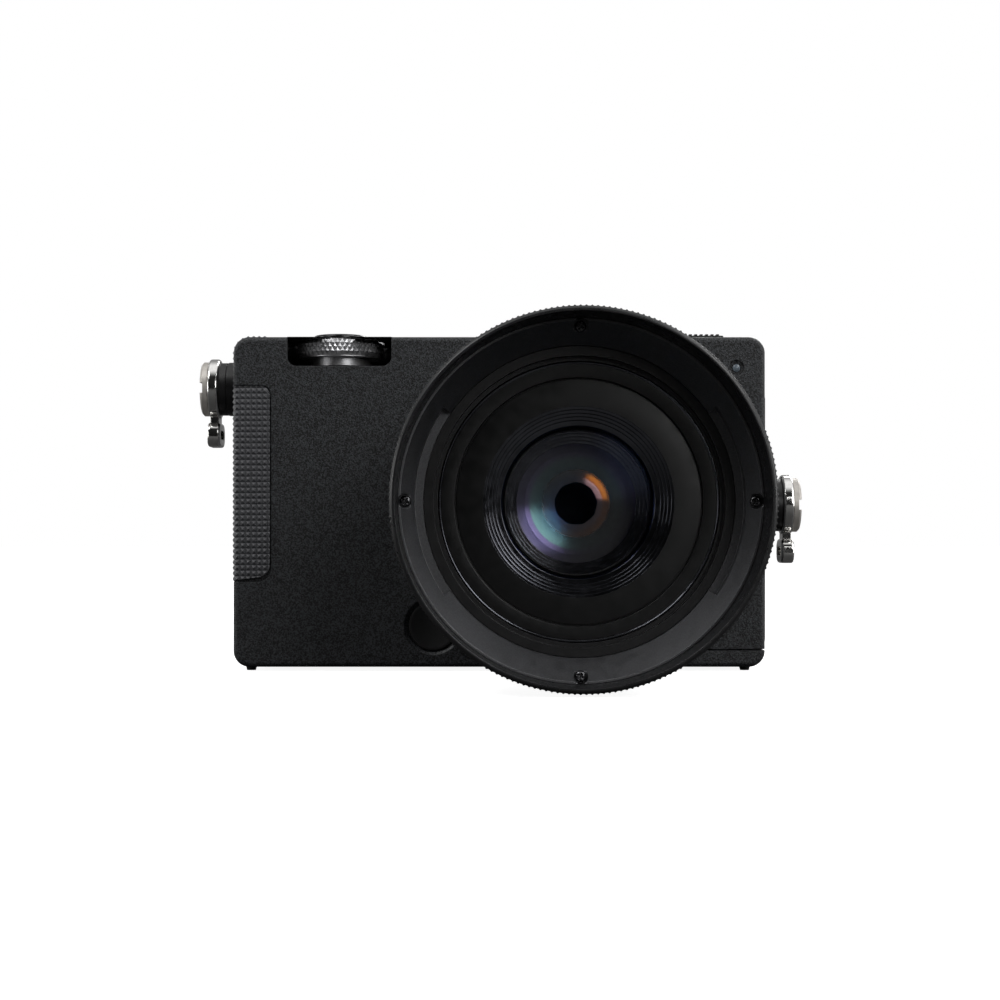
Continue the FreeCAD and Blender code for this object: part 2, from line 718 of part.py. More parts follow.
def lock_pin_place():
    """X and Z of the lens lock pin, on the line from the lens axis to the release button."""
    dx, dz = RELEASE_X, RELEASE_Z - AXIS_Z
    reach = math.hypot(dx, dz)
    return dx / reach * LOCK_PIN_RADIUS, AXIS_Z + dz / reach * LOCK_PIN_RADIUS


def foot_hole(x, y):
    return cyl_z(FOOT_R, -1.0, FOOT_PLUG_H, x, y)


def screw_hole(x, y):
    """Counterbored hole for a base screw, whose head lies a little below the base."""
    seat = SCREW_HEAD_H + SEAM
    head = cyl_z(SCREW_HEAD_R + SEAM, -1.0, seat, x, y)
    return fuse(head, cyl_z(SCREW_R + SEAM / 2, seat - 0.3, WALL + 1.0, x, y))


def base_screws():
    screws = []
    for x, y in BASE_SCREWS:
        arm, half = SCREW_CROSS_R, SCREW_CROSS_W / 2
        z = (0.0, SEAM + SCREW_CROSS_D)
        cross = box((x - arm, x + arm), (y - half, y + half), z)
        cross = cross.fuse(box((x - half, x + half), (y - arm, y + arm), z))
        seat = SEAM + SCREW_HEAD_H
        head = cyl_z(SCREW_HEAD_R, SEAM, seat, x, y).cut(cross)
        screws.append(fuse(head, cyl_z(SCREW_R, seat, WALL + 1.2, x, y)))
    return screws


def corner_cover():
    """Lower right corner of the body, a piece of its own with a seam across the front."""
    whole = shell(FRONT_Y, SPLIT_Y, FRONT_Y, FRONT_EDGE_R, FRONT_WALL)
    cover = whole.common(corner_region(CORNER_SEAM))
    return cover.cut(foot_hole(FOOT_X[1], FOOT_Y[0]))


def rear_cover():
    cover = shell(REAR_SPLIT_Y, BACK_Y, BACK_Y, BACK_EDGE_R, WALL)
    glass_floor = BACK_Y + GLASS_PROUD - GLASS_T
    window_x = (GLASS_X[0] + GLASS_LAND, GLASS_X[1] - GLASS_LAND)
    window_z = (GLASS_Z[0] + GLASS_LAND, GLASS_Z[1] - GLASS_LAND)
    recess_x = (GLASS_X[0] - SEAM, GLASS_X[1] + SEAM)
    recess_z = (GLASS_Z[0] - SEAM, GLASS_Z[1] + SEAM)
    dial_floor = BACK_Y + REAR_DIAL_PROUD - REAR_DIAL_H - SEAM
    cuts = [
        rounded_y(recess_x, recess_z, GLASS_CORNER_R + SEAM, glass_floor, BACK_Y + 1.0),
        rounded_y(window_x, window_z, 0.5, BACK_Y - WALL - 1.0, BACK_Y + 1.0),
        cyl_y(REAR_DIAL_R + CLEAR, dial_floor, BACK_Y + 1.0, REAR_DIAL_X, REAR_DIAL_Z),
        cyl_y(OK_R + CLEAR, BACK_Y - WALL - 1.0, BACK_Y + 1.0, REAR_DIAL_X, REAR_DIAL_Z),
        rounded_y(THUMB_X, THUMB_Z, THUMB_CORNER_R, BACK_Y - THUMB_RECESS, BACK_Y + 1.0),
        *[foot_hole(x, FOOT_Y[1]) for x in FOOT_X],
        *[screw_hole(x, y) for x, y in BASE_SCREWS[2:]],
    ]
    for x, z in ROUND_BUTTONS.values():
        cuts.append(button_hole_y(ROUND_BUTTON_R, x, z, BACK_Y - WALL - 1.0, BACK_Y + 1.0))
    for x in BAR_BUTTONS.values():
        cuts.append(bar_button(x, CLEAR, BACK_Y - WALL - 1.0, BACK_Y + 1.0))
    return cut_all(cover, cuts)


def heat_sink():
    """Finned aluminium frame between the two covers, open in the middle."""
    inset = HEAT_SINK_INSET
    block = body_block(-inset, SPLIT_Y, REAR_SPLIT_Y)
    block = block.cut(body_block(-HEAT_SINK_FRAME, SPLIT_Y + HEAT_SINK_SHEET, REAR_SPLIT_Y + 1.0, 1.0))
    slot, pitch, depth = FIN_SLOT, FIN_PITCH, FIN_DEPTH
    y = (SPLIT_Y + FIN_LAND[0], REAR_SPLIT_Y - FIN_LAND[1])
    slots = []
    across = int((BODY_WIDTH - 2 * CORNER_R - FIN_CORNER) / pitch)
    first_x = (BODY_LEFT + BODY_RIGHT) / 2 - across * pitch / 2
    for i in range(across + 1):
        x = first_x + i * pitch
        for z in ((inset - 1.0, inset + depth), (BODY_HEIGHT - inset - depth, BODY_HEIGHT - inset + 1.0)):
            slots.append(box((x - slot / 2, x + slot / 2), y, z))
    up = int((BODY_HEIGHT - 2 * CORNER_R - FIN_CORNER) / pitch)
    first_z = BODY_HEIGHT / 2 - up * pitch / 2
    for i in range(up + 1):
        z = first_z + i * pitch
        for x in (
            (BODY_LEFT + inset - 1.0, BODY_LEFT + inset + depth),
            (BODY_RIGHT - inset - depth, BODY_RIGHT - inset + 1.0),
        ):
            slots.append(box(x, y, (z - slot / 2, z + slot / 2)))
    return cut_all(block, slots)


def grip_rubbers():
    """The wrap-round grip on the left and the thumb pad on the back."""
    grown = body_block(GRIP_PROUD, FRONT_Y - GRIP_PROUD, SPLIT_Y + 1.0)
    grown = grown.makeFillet(FRONT_EDGE_R + GRIP_PROUD, edges_on_y(grown, FRONT_Y - GRIP_PROUD))
    wrap = grown.common(grip_region()).cut(grip_core())
    wrap = wrap.cut(cyl_x(COLLAR_R + 0.2, BODY_LEFT - 5.0, BODY_LEFT + 2.0, STRAP_Y, STRAP_Z_LEFT))
    edge = SEAM / 2
    thumb = rounded_y(
        (THUMB_X[0] + edge, THUMB_X[1] - edge),
        (THUMB_Z[0] + edge, THUMB_Z[1] - edge),
        THUMB_CORNER_R - SEAM,
        BACK_Y - THUMB_RECESS,
        BACK_Y - THUMB_RECESS + THUMB_T,
    )
    thumb = thumb.makeFillet(THUMB_EDGE_R, edges_on_y(thumb, BACK_Y - THUMB_RECESS + THUMB_T))
    return Part.makeCompound(wrap.Solids + [thumb])


# Mount, sensor and electronics


def lug_angle(i):
    """Middle of lens lug i, in degrees; the camera's notches lie half a step on."""
    return 45.0 + 360.0 / LUG_COUNT * i


def mount_ring():
    """Steel bayonet ring with notches that let the lens lugs in."""
    ring = tube_y(MOUNT_RING_R, MOUNT_THROAT_R, FLANGE_Y, FLANGE_Y + MOUNT_RING_T)
    notches = []
    y = (FLANGE_Y - 1.0, FLANGE_Y + MOUNT_RING_T + 1.0)
    head_y = (FLANGE_Y - 1.0, FLANGE_Y + MOUNT_SCREW_HEAD_H)
    for i in range(LUG_COUNT):
        middle = lug_angle(i + 0.5)
        notches.append(sector(MOUNT_THROAT_R - 5.0, LUG_R + 0.2, *y, middle, LUG_ANGLE / 2 + 2.0))
    notches.append(cyl_y(LOCK_PIN_R + CLEAR, FLANGE_Y - 1.0, FLANGE_Y + 3.0, *lock_pin_place()))
    for x, z in mount_screw_places():
        notches.append(cyl_y(MOUNT_SCREW_R + SEAM, FLANGE_Y - 1.0, FLANGE_Y + 3.0, x, z))
        notches.append(cyl_y(MOUNT_SCREW_HEAD_R + SEAM, *head_y, x, z))
    return cut_all(ring, notches)


def mount_screw_places():
    """Four places on the ring, clear of the lock pin."""
    places = []
    for i in range(4):
        a = math.radians(90.0 * i)
        places.append((MOUNT_SCREW_PCR * math.cos(a), AXIS_Z + MOUNT_SCREW_PCR * math.sin(a)))
    return places


def mount_screws():
    screws = []
    for x, z in mount_screw_places():
        head_back = FLANGE_Y + MOUNT_SCREW_HEAD_H
        head = cyl_y(MOUNT_SCREW_HEAD_R, FLANGE_Y + 0.1, head_back, x, z)
        shank = cyl_y(MOUNT_SCREW_R, head_back, FLANGE_Y + MOUNT_RING_T, x, z)
        screws.append(fuse(head, shank))
    return screws


def body_screws():
    return Part.makeCompound(base_screws() + mount_screws())


def sensor_unit():
    """Image sensor with its cover glass on the plate that is screwed to the front casting."""
    y = SENSOR_PLATE_Y

    def layer(size, r, y0, y1):
        half_w, half_h = size[0] / 2, size[1] / 2
        return rounded_y((-half_w, half_w), (AXIS_Z - half_h, AXIS_Z + half_h), r, y0, y1)

    package_y = y - SENSOR_PACKAGE[2]
    plate = layer(SENSOR_PLATE, 2.0, y, y + SENSOR_PLATE_T)
    package = layer(SENSOR_PACKAGE, 0.8, package_y, y)
    glass = layer(SENSOR_GLASS, 0.5, package_y - SENSOR_GLASS_DEPTH, package_y)
    chips = layer(SENSOR_CHIPS, 0.3, y + SENSOR_PLATE_T, y + SENSOR_PLATE_T + SENSOR_CHIPS[2])
    return fuse(plate, package, glass, chips)


def main_board():
    """Circuit board on the front of the heat sink, with its larger chips."""
    y = SPLIT_Y - BOARD_T
    board = box(BOARD_X, (y, SPLIT_Y), BOARD_Z)
    chips = [box((x, x + w), (y - CHIP_H, y), (z, z + h)) for x, z, w, h in CHIPS]
    return fuse(board, *chips)


def battery():
    z0 = DOOR_T + BATTERY_GAP
    top = z0 + BATTERY_SIZE[2]
    cell = rounded_z(BATTERY_X, BATTERY_Y, 1.5, z0, top)
    middle = (BATTERY_Y[0] + BATTERY_Y[1]) / 2
    contacts = []
    for i in range(3):
        x = BATTERY_X[0] + 4.0 + 3.0 * i
        contacts.append(box((x, x + 1.6), (middle - 2.0, middle + 2.0), (top - 0.4, top + 1.0)))
    return cut_all(cell, contacts)


def port_opening(z):
    """Recess for a socket cover, and the hole behind it."""
    x = BODY_RIGHT + PORT_PROUD - PORT_COVER_T - SEAM
    recess = box((x, BODY_RIGHT + 1.0), (PORT_Y[0] - SEAM, PORT_Y[1] + SEAM), (z[0] - SEAM, z[1] + SEAM))
    hole_y = (PORT_Y[0] + PORT_LAND, PORT_Y[1] - PORT_LAND)
    hole_z = (z[0] + PORT_LAND, z[1] - PORT_LAND)
    hole = box((BODY_RIGHT - WALL - 1.0, BODY_RIGHT + 1.0), hole_y, hole_z)
    return fuse(recess, hole)


def port_ridge():
    """Raised stretch of the side wall between the two socket covers, level with them."""
    z = (PORT_LOWER_Z[1] + PORT_RIDGE_GAP, PORT_UPPER_Z[0] - PORT_RIDGE_GAP)
    return box((BODY_RIGHT - WALL / 2, BODY_RIGHT + PORT_PROUD), PORT_Y, z)


def port_cover(z):
    """Rubber flap with a round rear edge that it folds about, and a plug behind it."""
    x0 = BODY_RIGHT + PORT_PROUD - PORT_COVER_T
    x1 = x0 + PORT_COVER_T
    hinge_y = PORT_Y[1] - PORT_COVER_T / 2
    corners = [(x0, hinge_y), (x0, PORT_Y[0]), (x1, PORT_Y[0]), (x1, hinge_y)]
    points = [V(x, y, z[0]) for x, y in corners]
    rear = Part.Arc(points[3], V((x0 + x1) / 2, PORT_Y[1], z[0]), points[0]).toShape()
    outline = Part.Wire([Part.makePolygon(points), rear])
    flap = Part.Face(outline).extrude(V(0, 0, z[1] - z[0]))
    flap = flap.common(rounded_x((PORT_Y[0], PORT_Y[1] + 5.0), z, PORT_CORNER_R, x0 - 1.0, x1 + 1.0))
    plug_y = (PORT_Y[0] + PORT_LAND + 0.3, PORT_Y[1] - PORT_LAND - 2.4)
    plug_z = (z[0] + PORT_LAND + 0.3, z[1] - PORT_LAND - 0.3)
    plug = rounded_x(plug_y, plug_z, 0.6, x0 - 0.5, x0 + 0.1)
    return fuse(flap, plug)


def port_block():
    """Sockets behind the two covers: a round jack above, two flat sockets below."""
    face = BODY_RIGHT - WALL - 0.4
    back = face - PORT_BLOCK_DEPTH
    front = back + PORT_BOARD_T
    middle = (PORT_Y[0] + PORT_Y[1]) / 2
    sockets = (
        (JACK_SOCKET, (PORT_UPPER_Z[0] + PORT_UPPER_Z[1]) / 2),
        (WIDE_SOCKET, PORT_LOWER_Z[0] + WIDE_SOCKET_RISE),
        (SMALL_SOCKET, PORT_LOWER_Z[0] + SMALL_SOCKET_RISE),
    )
    board_z = (PORT_LOWER_Z[0] - PORT_BOARD_MARGIN[0], PORT_UPPER_Z[1] + PORT_BOARD_MARGIN[1])
    pieces = [box((back, front), (middle - PORT_BOARD_HALF_W, middle + PORT_BOARD_HALF_W), board_z)]
    holes = []
    for (w, h, hole_w, hole_h, r), z in sockets:
        pieces.append(box((front, face), (middle - w / 2, middle + w / 2), (z - h / 2, z + h / 2)))
        hole_y = (middle - hole_w / 2, middle + hole_w / 2)
        hole_z = (z - hole_h / 2, z + hole_h / 2)
        holes.append(rounded_x(hole_y, hole_z, r, face - SOCKET_DEPTH, face + 1.0))
    return cut_all(fuse(*pieces), holes)


# Threads, strap fittings and feet


def side_insert_hole(side):
    face = BODY_LEFT if side < 0 else BODY_RIGHT
    z = STRAP_Z_LEFT if side < 0 else STRAP_Z_RIGHT
    x0, x1 = sorted((face + side * 2.0, face - side * INSERT_LENGTH))
    return cyl_x(INSERT_R, x0, x1, STRAP_Y, z)


def side_insert(side):
    """Threaded bush with the black collar that the strap fitting is clamped on."""
    face = BODY_LEFT if side < 0 else BODY_RIGHT
    z = STRAP_Z_LEFT if side < 0 else STRAP_Z_RIGHT
    collar = COLLAR_LEFT if side < 0 else COLLAR_RIGHT
    start = GRIP_T if side < 0 else 0.0

    def disc(r, a, b):
        x0, x1 = sorted((face + side * a, face + side * b))
        return cyl_x(r, x0, x1, STRAP_Y, z)

    bush = disc(INSERT_R, -INSERT_LENGTH, 0.0)
    groove = collar * COLLAR_GROOVE_AT
    washer = disc(COLLAR_R, -start, groove)
    neck = disc(COLLAR_R - COLLAR_GROOVE_D, groove, groove + COLLAR_GROOVE_W)
    outer = disc(COLLAR_R - SEAM, groove + COLLAR_GROOVE_W, collar)
    bore = disc(THREAD_R, -INSERT_LENGTH - 1.0, collar + 1.0)
    return fuse(bush, washer, neck, outer).cut(bore)


def thread_inserts():
    bore = cyl_z(THREAD_R, -1.0, INSERT_LENGTH + 1.0, 0.0, 0.0)
    base = cyl_z(INSERT_R, 0.0, INSERT_LENGTH, 0.0, 0.0).cut(bore)
    return Part.makeCompound([base, side_insert(-1), side_insert(1)])


def strap_plane(side):
    """X where the eyelet starts on this side, going outward."""
    if side < 0:
        return BODY_LEFT - COLLAR_LEFT
    return BODY_RIGHT + COLLAR_RIGHT


def strap_screw(side):
    """Coin-slotted screw that holds a strap eyelet."""
    z = STRAP_Z_LEFT if side < 0 else STRAP_Z_RIGHT
    start = strap_plane(side)

    def disc(r, a, b):
        x0, x1 = sorted((start + side * a, start + side * b))
        return cyl_x(r, x0, x1, STRAP_Y, z)

    head_at = EYELET_T + STRAP_PLAY
    head = disc(STRAP_HEAD_R, head_at, head_at + STRAP_HEAD_T)
    outer = start + side * (head_at + STRAP_HEAD_T)
    rim = [e for e in edges_across_x(head) if abs(e.BoundBox.XMin - outer) < 1e-4]
    head = head.makeChamfer(STRAP_HEAD_BEVEL, rim)
    shoulder = disc(EYELET_HOLE_R - 0.1, 0.0, head_at)
    shank = disc(THREAD_R - 0.05, -STRAP_SHANK_L, 0.0)
    x0, x1 = sorted((outer + side, outer - side * COIN_SLOT_D))
    across = (STRAP_Y - STRAP_HEAD_R - 1.0, STRAP_Y + STRAP_HEAD_R + 1.0)
    slot = box((x0, x1), across, (z - COIN_SLOT_W / 2, z + COIN_SLOT_W / 2))
    return fuse(head, shoulder, shank).cut(slot)


def strap_eyelet(side):
    """Flat ring round the screw with a slotted loop hanging from it."""
    z = STRAP_Z_LEFT if side < 0 else STRAP_Z_RIGHT
    start = strap_plane(side) + side * 0.05
    x0, x1 = sorted((start, start + side * (EYELET_T - 0.05)))
    middle = (x0 + x1) / 2
    ring = cyl_x(EYELET_R, x0, x1, STRAP_Y, z)
    ring = ring.makeFillet(0.5, edges_across_x(ring))
    low = z - EYELET_DROP
    loop_z = (low, low + EYELET_LOOP_H)
    loop_y = (STRAP_Y - EYELET_LOOP_W / 2, STRAP_Y + EYELET_LOOP_W / 2)
    loop = rounded_x(loop_y, loop_z, 2.2, middle - EYELET_LOOP_T / 2, middle + EYELET_LOOP_T / 2)
    loop = loop.makeFillet(0.5, edges_across_x(loop))
    neck_y = (STRAP_Y - EYELET_NECK_W / 2, STRAP_Y + EYELET_NECK_W / 2)
    neck = box((x0 + 0.2, x1 - 0.2), neck_y, (low + EYELET_LOOP_H - 1.0, z - 4.0))
    slot_z = low + EYELET_LOOP_H / 2
    slot = rounded_x(
        (STRAP_Y - EYELET_SLOT_W / 2, STRAP_Y + EYELET_SLOT_W / 2),
        (slot_z - EYELET_SLOT_H / 2, slot_z + EYELET_SLOT_H / 2),
        0.9,
        x0 - 2.0,
        x1 + 2.0,
    )
    return fuse(ring, loop, neck).cut(slot).cut(cyl_x(EYELET_HOLE_R, x0 - 2.0, x1 + 2.0, STRAP_Y, z))


def feet():
    pads = []
    for x in FOOT_X:
        for y in FOOT_Y:
            pad = Part.makeCone(FOOT_R - 0.25, FOOT_R, FOOT_H, V(x, y, -FOOT_H), V(0, 0, 1))
            pads.append(fuse(pad, cyl_z(FOOT_R, 0.0, FOOT_PLUG_H, x, y)))
    return Part.makeCompound(pads)


def af_lamp():
    lens = cyl_y(LAMP_R, FRONT_Y + 0.3, FRONT_Y + FRONT_WALL, LAMP_X, LAMP_Z)
    dome = Part.makeSphere(1.2, V(LAMP_X, FRONT_Y + 1.25, LAMP_Z))
    return fuse(lens, dome.common(cyl_y(LAMP_R, FRONT_Y - 1.0, FRONT_Y + 0.3, LAMP_X, LAMP_Z)))


# Moving pieces on the body


def dial_levels():
    """Heights of the dial's foot, lip, knurled band and top, going up."""
    foot = BODY_HEIGHT - WELL_DEPTH + DIAL_GAP
    lip = foot + DIAL_FOOT_H
    band = lip + DIAL_LIP_H
    return foot, lip, band, band + DIAL_KNURL_H


def front_dial():
    """Knurled wheel with a dished top, on a thin lip, a glossy foot and a spindle."""
    foot_z, lip_z, band_z, top_z = dial_levels()
    ring = toothed(DIAL_R, DIAL_TOOTH, DIAL_TEETH, SHUTTER_R + SHUTTER_GAP, 0.0, DIAL_KNURL_H, 0.0, 0.0)
    ring.rotate(V(0, 0, 0), V(1, 0, 0), 90)
    ring.translate(V(DIAL_X, DIAL_Y, band_z))
    bevelled = Part.makeCylinder(DIAL_R + 0.1, top_z - band_z, V(DIAL_X, DIAL_Y, band_z))
    bevelled = bevelled.makeChamfer(DIAL_BEVEL + 0.1, bevelled.Edges)
    ring = ring.common(bevelled)
    bore = SHUTTER_R + SHUTTER_GAP
    dish_at = V(DIAL_X, DIAL_Y, top_z - DIAL_DISH_DEPTH)
    ring = ring.cut(Part.makeCone(bore, DIAL_DISH_R, DIAL_DISH_DEPTH, dish_at))
    lip = cyl_z(DIAL_LIP_R, lip_z, band_z, DIAL_X, DIAL_Y)
    foot = cyl_z(DIAL_FOOT_R, foot_z, lip_z, DIAL_X, DIAL_Y)
    spindle = cyl_z(SPINDLE_R, BODY_HEIGHT - WELL_DEPTH - 2.6, foot_z + 0.2, DIAL_X, DIAL_Y)
    web = fuse(lip, foot, spindle)
    web = web.cut(cyl_z(SHUTTER_R + SHUTTER_GAP, foot_z + 1.0, BODY_HEIGHT, DIAL_X, DIAL_Y))
    return fuse(ring, web)


def shutter_button():
    """Round cap with a dished top on a short stem that ends over the dial's web."""
    top = BODY_HEIGHT + SHUTTER_PROUD
    low = top - SHUTTER_CAP_H
    cap = cyl_z(SHUTTER_R, low, top, DIAL_X, DIAL_Y)
    cap = cap.makeFillet(0.45, [e for e in cap.Edges if abs(e.BoundBox.ZMin - top) < 1e-4])
    dish = Part.makeSphere(20.0, V(DIAL_X, DIAL_Y, top + 19.6))
    stem = cyl_z(1.45, low - SHUTTER_STEM_L, low, DIAL_X, DIAL_Y)
    return fuse(cap.cut(dish), stem)


def rec_button():
    top = BODY_HEIGHT + REC_PROUD
    cap = cyl_z(REC_R, BODY_HEIGHT - WALL - 0.4, top, REC_X, TOP_CONTROL_Y)
    cap = cap.makeFillet(0.3, [e for e in cap.Edges if abs(e.BoundBox.ZMin - top) < 1e-4])
    groove = tube_z(2.0, 1.5, top - 0.25, top + 1.0, REC_X, TOP_CONTROL_Y)
    return cap.cut(groove)


def tube_z(r_out, r_in, z0, z1, x, y):
    return cyl_z(r_out, z0, z1, x, y).cut(cyl_z(r_in, z0 - 1.0, z1 + 1.0, x, y))


def slider(x0, x1, top, ridge_from, ridge_to):
    """Ridged slide knob lying in its slot."""
    y = (TOP_CONTROL_Y - SLIDER_W / 2, TOP_CONTROL_Y + SLIDER_W / 2)
    knob = rounded_z((x0, x1), y, 0.8, BODY_HEIGHT - 0.75, top - RIDGE_H)
    count = int((ridge_to - ridge_from) / RIDGE_PITCH)
    ridges = []
    for i in range(count):
        x = ridge_from + RIDGE_PITCH * (i + 0.5)
        ridges.append(box((x - 0.3, x + 0.3), (y[0] + 0.5, y[1] - 0.5), (top - RIDGE_H - 0.1, top)))
    return fuse(knob, *ridges)


def power_switch():
    x0 = POWER_X - POWER_L / 2
    return slider(x0, x0 + POWER_L, BODY_HEIGHT + POWER_PROUD + RIDGE_H, x0 + 0.5, x0 + POWER_L - 0.2)


def cine_switch():
    x0 = CINE_X - CINE_SLOT_L / 2 + CLEAR
    x1 = x0 + CINE_SLOT_L - CINE_TRAVEL - 2 * CLEAR
    return slider(x0, x1, BODY_HEIGHT + 0.75, x0 + 0.8, x1 - 0.6)


def release_button():
    """Dished round button with the lever that draws the lock pin back."""
    face = FRONT_Y + RELEASE_SUNK
    back = FRONT_Y + FRONT_WALL + LEVER_GAP
    stem = cyl_y(RELEASE_R, face, back, RELEASE_X, RELEASE_Z)
    dish_y = face + RELEASE_DISH_DEPTH - RELEASE_DISH_R
    dish = Part.makeSphere(RELEASE_DISH_R, V(RELEASE_X, dish_y, RELEASE_Z))
    px, pz = lock_pin_place()
    dx, dz = px - RELEASE_X, pz - RELEASE_Z
    bar = box((0.0, math.hypot(dx, dz)), (back, back + LEVER_T), (-LEVER_W / 2, LEVER_W / 2))
    bar.rotate(V(0, 0, 0), V(0, 1, 0), -math.degrees(math.atan2(dz, dx)))
    bar.translate(V(RELEASE_X, 0, RELEASE_Z))
    eye = cyl_y(LEVER_EYE_R, back, back + LEVER_T, px, pz)
    base = cyl_y(RELEASE_R, back, back + LEVER_T, RELEASE_X, RELEASE_Z)
    lever = fuse(stem.cut(dish), base, bar, eye)
    return lever.cut(cyl_y(LOCK_PIN_R - LOCK_TAIL_STEP, back - 1.0, back + 2.0, px, pz))


def lock_pin():
    """Steel pin that drops into the lens mount; its tail is fixed in the release lever."""
    px, pz = lock_pin_place()
    back = FRONT_Y + FRONT_WALL + LEVER_GAP
    pin = cyl_y(LOCK_PIN_R, FLANGE_Y - LOCK_PIN_PROUD, back, px, pz)
    tail = cyl_y(LOCK_PIN_R - LOCK_TAIL_STEP, back, back + LEVER_T, px, pz)
    return fuse(pin, tail)


def door_opening():
    x = (DOOR_X[0] - CLEAR, DOOR_X[1] + DOOR_T / 2 + CLEAR)
    return box(x, (DOOR_Y[0] - CLEAR, DOOR_Y[1] + CLEAR), (-1.0, WALL + 1.0))


def battery_door():
    """Bottom door with a round hinge knuckle on its inner edge and a seat for the catch."""
    door = rounded_z((DOOR_X[0], DOOR_X[1]), DOOR_Y, 0.6, 0.0, DOOR_T)
    knuckle = cyl_y(DOOR_T / 2, *DOOR_Y, DOOR_X[1], DOOR_T / 2)
    x0, y0 = latch_origin()
    seat = box(
        (x0 - CLEAR, x0 + LATCH_SIZE[0] + LATCH_TRAVEL + CLEAR),
        (y0 - CLEAR, y0 + LATCH_SIZE[1] + CLEAR),
        (-1.0, LATCH_SIZE[2] + 0.2),
    )
    return fuse(door, knuckle).cut(seat)


def latch_origin():
    return DOOR_X[0] + 1.4, (DOOR_Y[0] + DOOR_Y[1]) / 2 - LATCH_SIZE[1] / 2


def battery_latch():
    x0, y0 = latch_origin()
    plate = box((x0, x0 + LATCH_SIZE[0]), (y0, y0 + LATCH_SIZE[1]), (0.1, 0.1 + LATCH_SIZE[2]))
    grooves = []
    for i in range(4):
        x = x0 + 1.0 + 1.2 * i
        grooves.append(box((x, x + 0.5), (y0 + 1.0, y0 + LATCH_SIZE[1] - 1.0), (0.0, 0.4)))
    return cut_all(plate, grooves)


def lcd_glass():
    y1 = BACK_Y + GLASS_PROUD
    glass = rounded_y(GLASS_X, GLASS_Z, GLASS_CORNER_R, y1 - GLASS_T, y1)
    return glass.makeFillet(0.35, edges_on_y(glass, y1))


def rear_dial():
    y1 = BACK_Y + REAR_DIAL_PROUD
    y0 = y1 - REAR_DIAL_H
    place = (REAR_DIAL_X, REAR_DIAL_Z)
    wheel = toothed(REAR_DIAL_R, REAR_DIAL_TOOTH, REAR_DIAL_TEETH, OK_R + CLEAR, y0, y1, *place)
    dish = Part.makeCone(6.2, 7.4, 0.5, V(REAR_DIAL_X, y1 - 0.4, REAR_DIAL_Z), V(0, 1, 0))
    return wheel.cut(dish)


def ok_button():
    y1 = BACK_Y + REAR_DIAL_PROUD + 0.2
    cap = cyl_y(OK_R, BACK_Y - WALL - 0.4, y1, REAR_DIAL_X, REAR_DIAL_Z)
    return cap.makeFillet(0.3, edges_on_y(cap, y1))


def round_button(name):
    x, z = ROUND_BUTTONS[name]
    y1 = BACK_Y + BUTTON_PROUD
    cap = cyl_y(ROUND_BUTTON_R, y1 - BUTTON_LENGTH, y1, x, z)
    return cap.makeFillet(0.3, edges_on_y(cap, y1))


def bar_button(x, grow, y0, y1):
    w, h = BAR_BUTTON_SIZE
    return rounded_y(
        (x - w / 2 - grow, x + w / 2 + grow),
        (BAR_BUTTON_Z - h / 2 - grow, BAR_BUTTON_Z + h / 2 + grow),
        1.4 + grow,
        y0,
        y1,
    )


def bottom_row_button(name):
    y1 = BACK_Y + BUTTON_PROUD
    cap = bar_button(BAR_BUTTONS[name], 0.0, y1 - BUTTON_LENGTH, y1)
    return cap.makeFillet(0.3, edges_on_y(cap, y1))


# Lens


def lens_mount():
    """Bayonet of the lens: flange, tube and four lugs behind the camera's ring."""
    y = FLANGE_Y
    flange = tube_y(BAYONET_OUT_R, BAYONET_BORE_R, y - BAYONET_T, y)
    tube = tube_y(BAYONET_TUBE_R, BAYONET_BORE_R, y, y + MOUNT_RING_T + LUG_T + 0.2)
    lugs = []
    for i in range(LUG_COUNT):
        y0 = y + MOUNT_RING_T + 0.15
        lugs.append(sector(BAYONET_TUBE_R - 0.5, LUG_R, y0, y0 + LUG_T, lug_angle(i), LUG_ANGLE / 2))
    mount = fuse(flange, tube, *lugs)
    return mount.cut(cyl_y(LOCK_PIN_R + 0.2, y - 1.6, y + 1.0, *lock_pin_place()))


def base_y():
    return FLANGE_Y - BAYONET_T


def ring_plan():
    """Where each section of the barrel starts and ends, from back to front."""
    base = base_y()
    aperture = base - BASE_BARREL_L - RING_GAP
    collar = aperture - APERTURE_RING_L - RING_GAP
    focus = collar - COLLAR_RING_L - RING_GAP
    return {
        "base": (base - BASE_BARREL_L, base),
        "aperture": (aperture - APERTURE_RING_L, aperture),
        "collar": (collar - COLLAR_RING_L, collar),
        "focus": (focus - FOCUS_RING_L, focus),
        "front": (LENS_FRONT_Y, focus - FOCUS_RING_L - RING_GAP),
    }


def lens_barrel():
    """Fixed base and sleeve, with the narrow ring that sits between the two turning rings."""
    plan = ring_plan()
    low, high = plan["base"]
    front = plan["front"][1]
    base = turned(
        [
            (SLEEVE_BORE_R, high),
            (BAYONET_OUT_R, high),
            (BARREL_R, high - 1.6),
            (BARREL_R, low),
            (SLEEVE_R, low),
            (SLEEVE_R, front),
            (SLEEVE_BORE_R, front),
        ]
    )
    base = base.cut(switch_pocket())
    collar = tube_y(BARREL_R, SLEEVE_R, plan["collar"][0], plan["collar"][1])
    return Part.makeCompound([base, collar])


def switch_pocket():
    half = SWITCH_HALF_Z + CLEAR
    return box((BARREL_R - SWITCH_DEPTH, BARREL_R + 2.0), SWITCH_Y, (AXIS_Z - half, AXIS_Z + half))


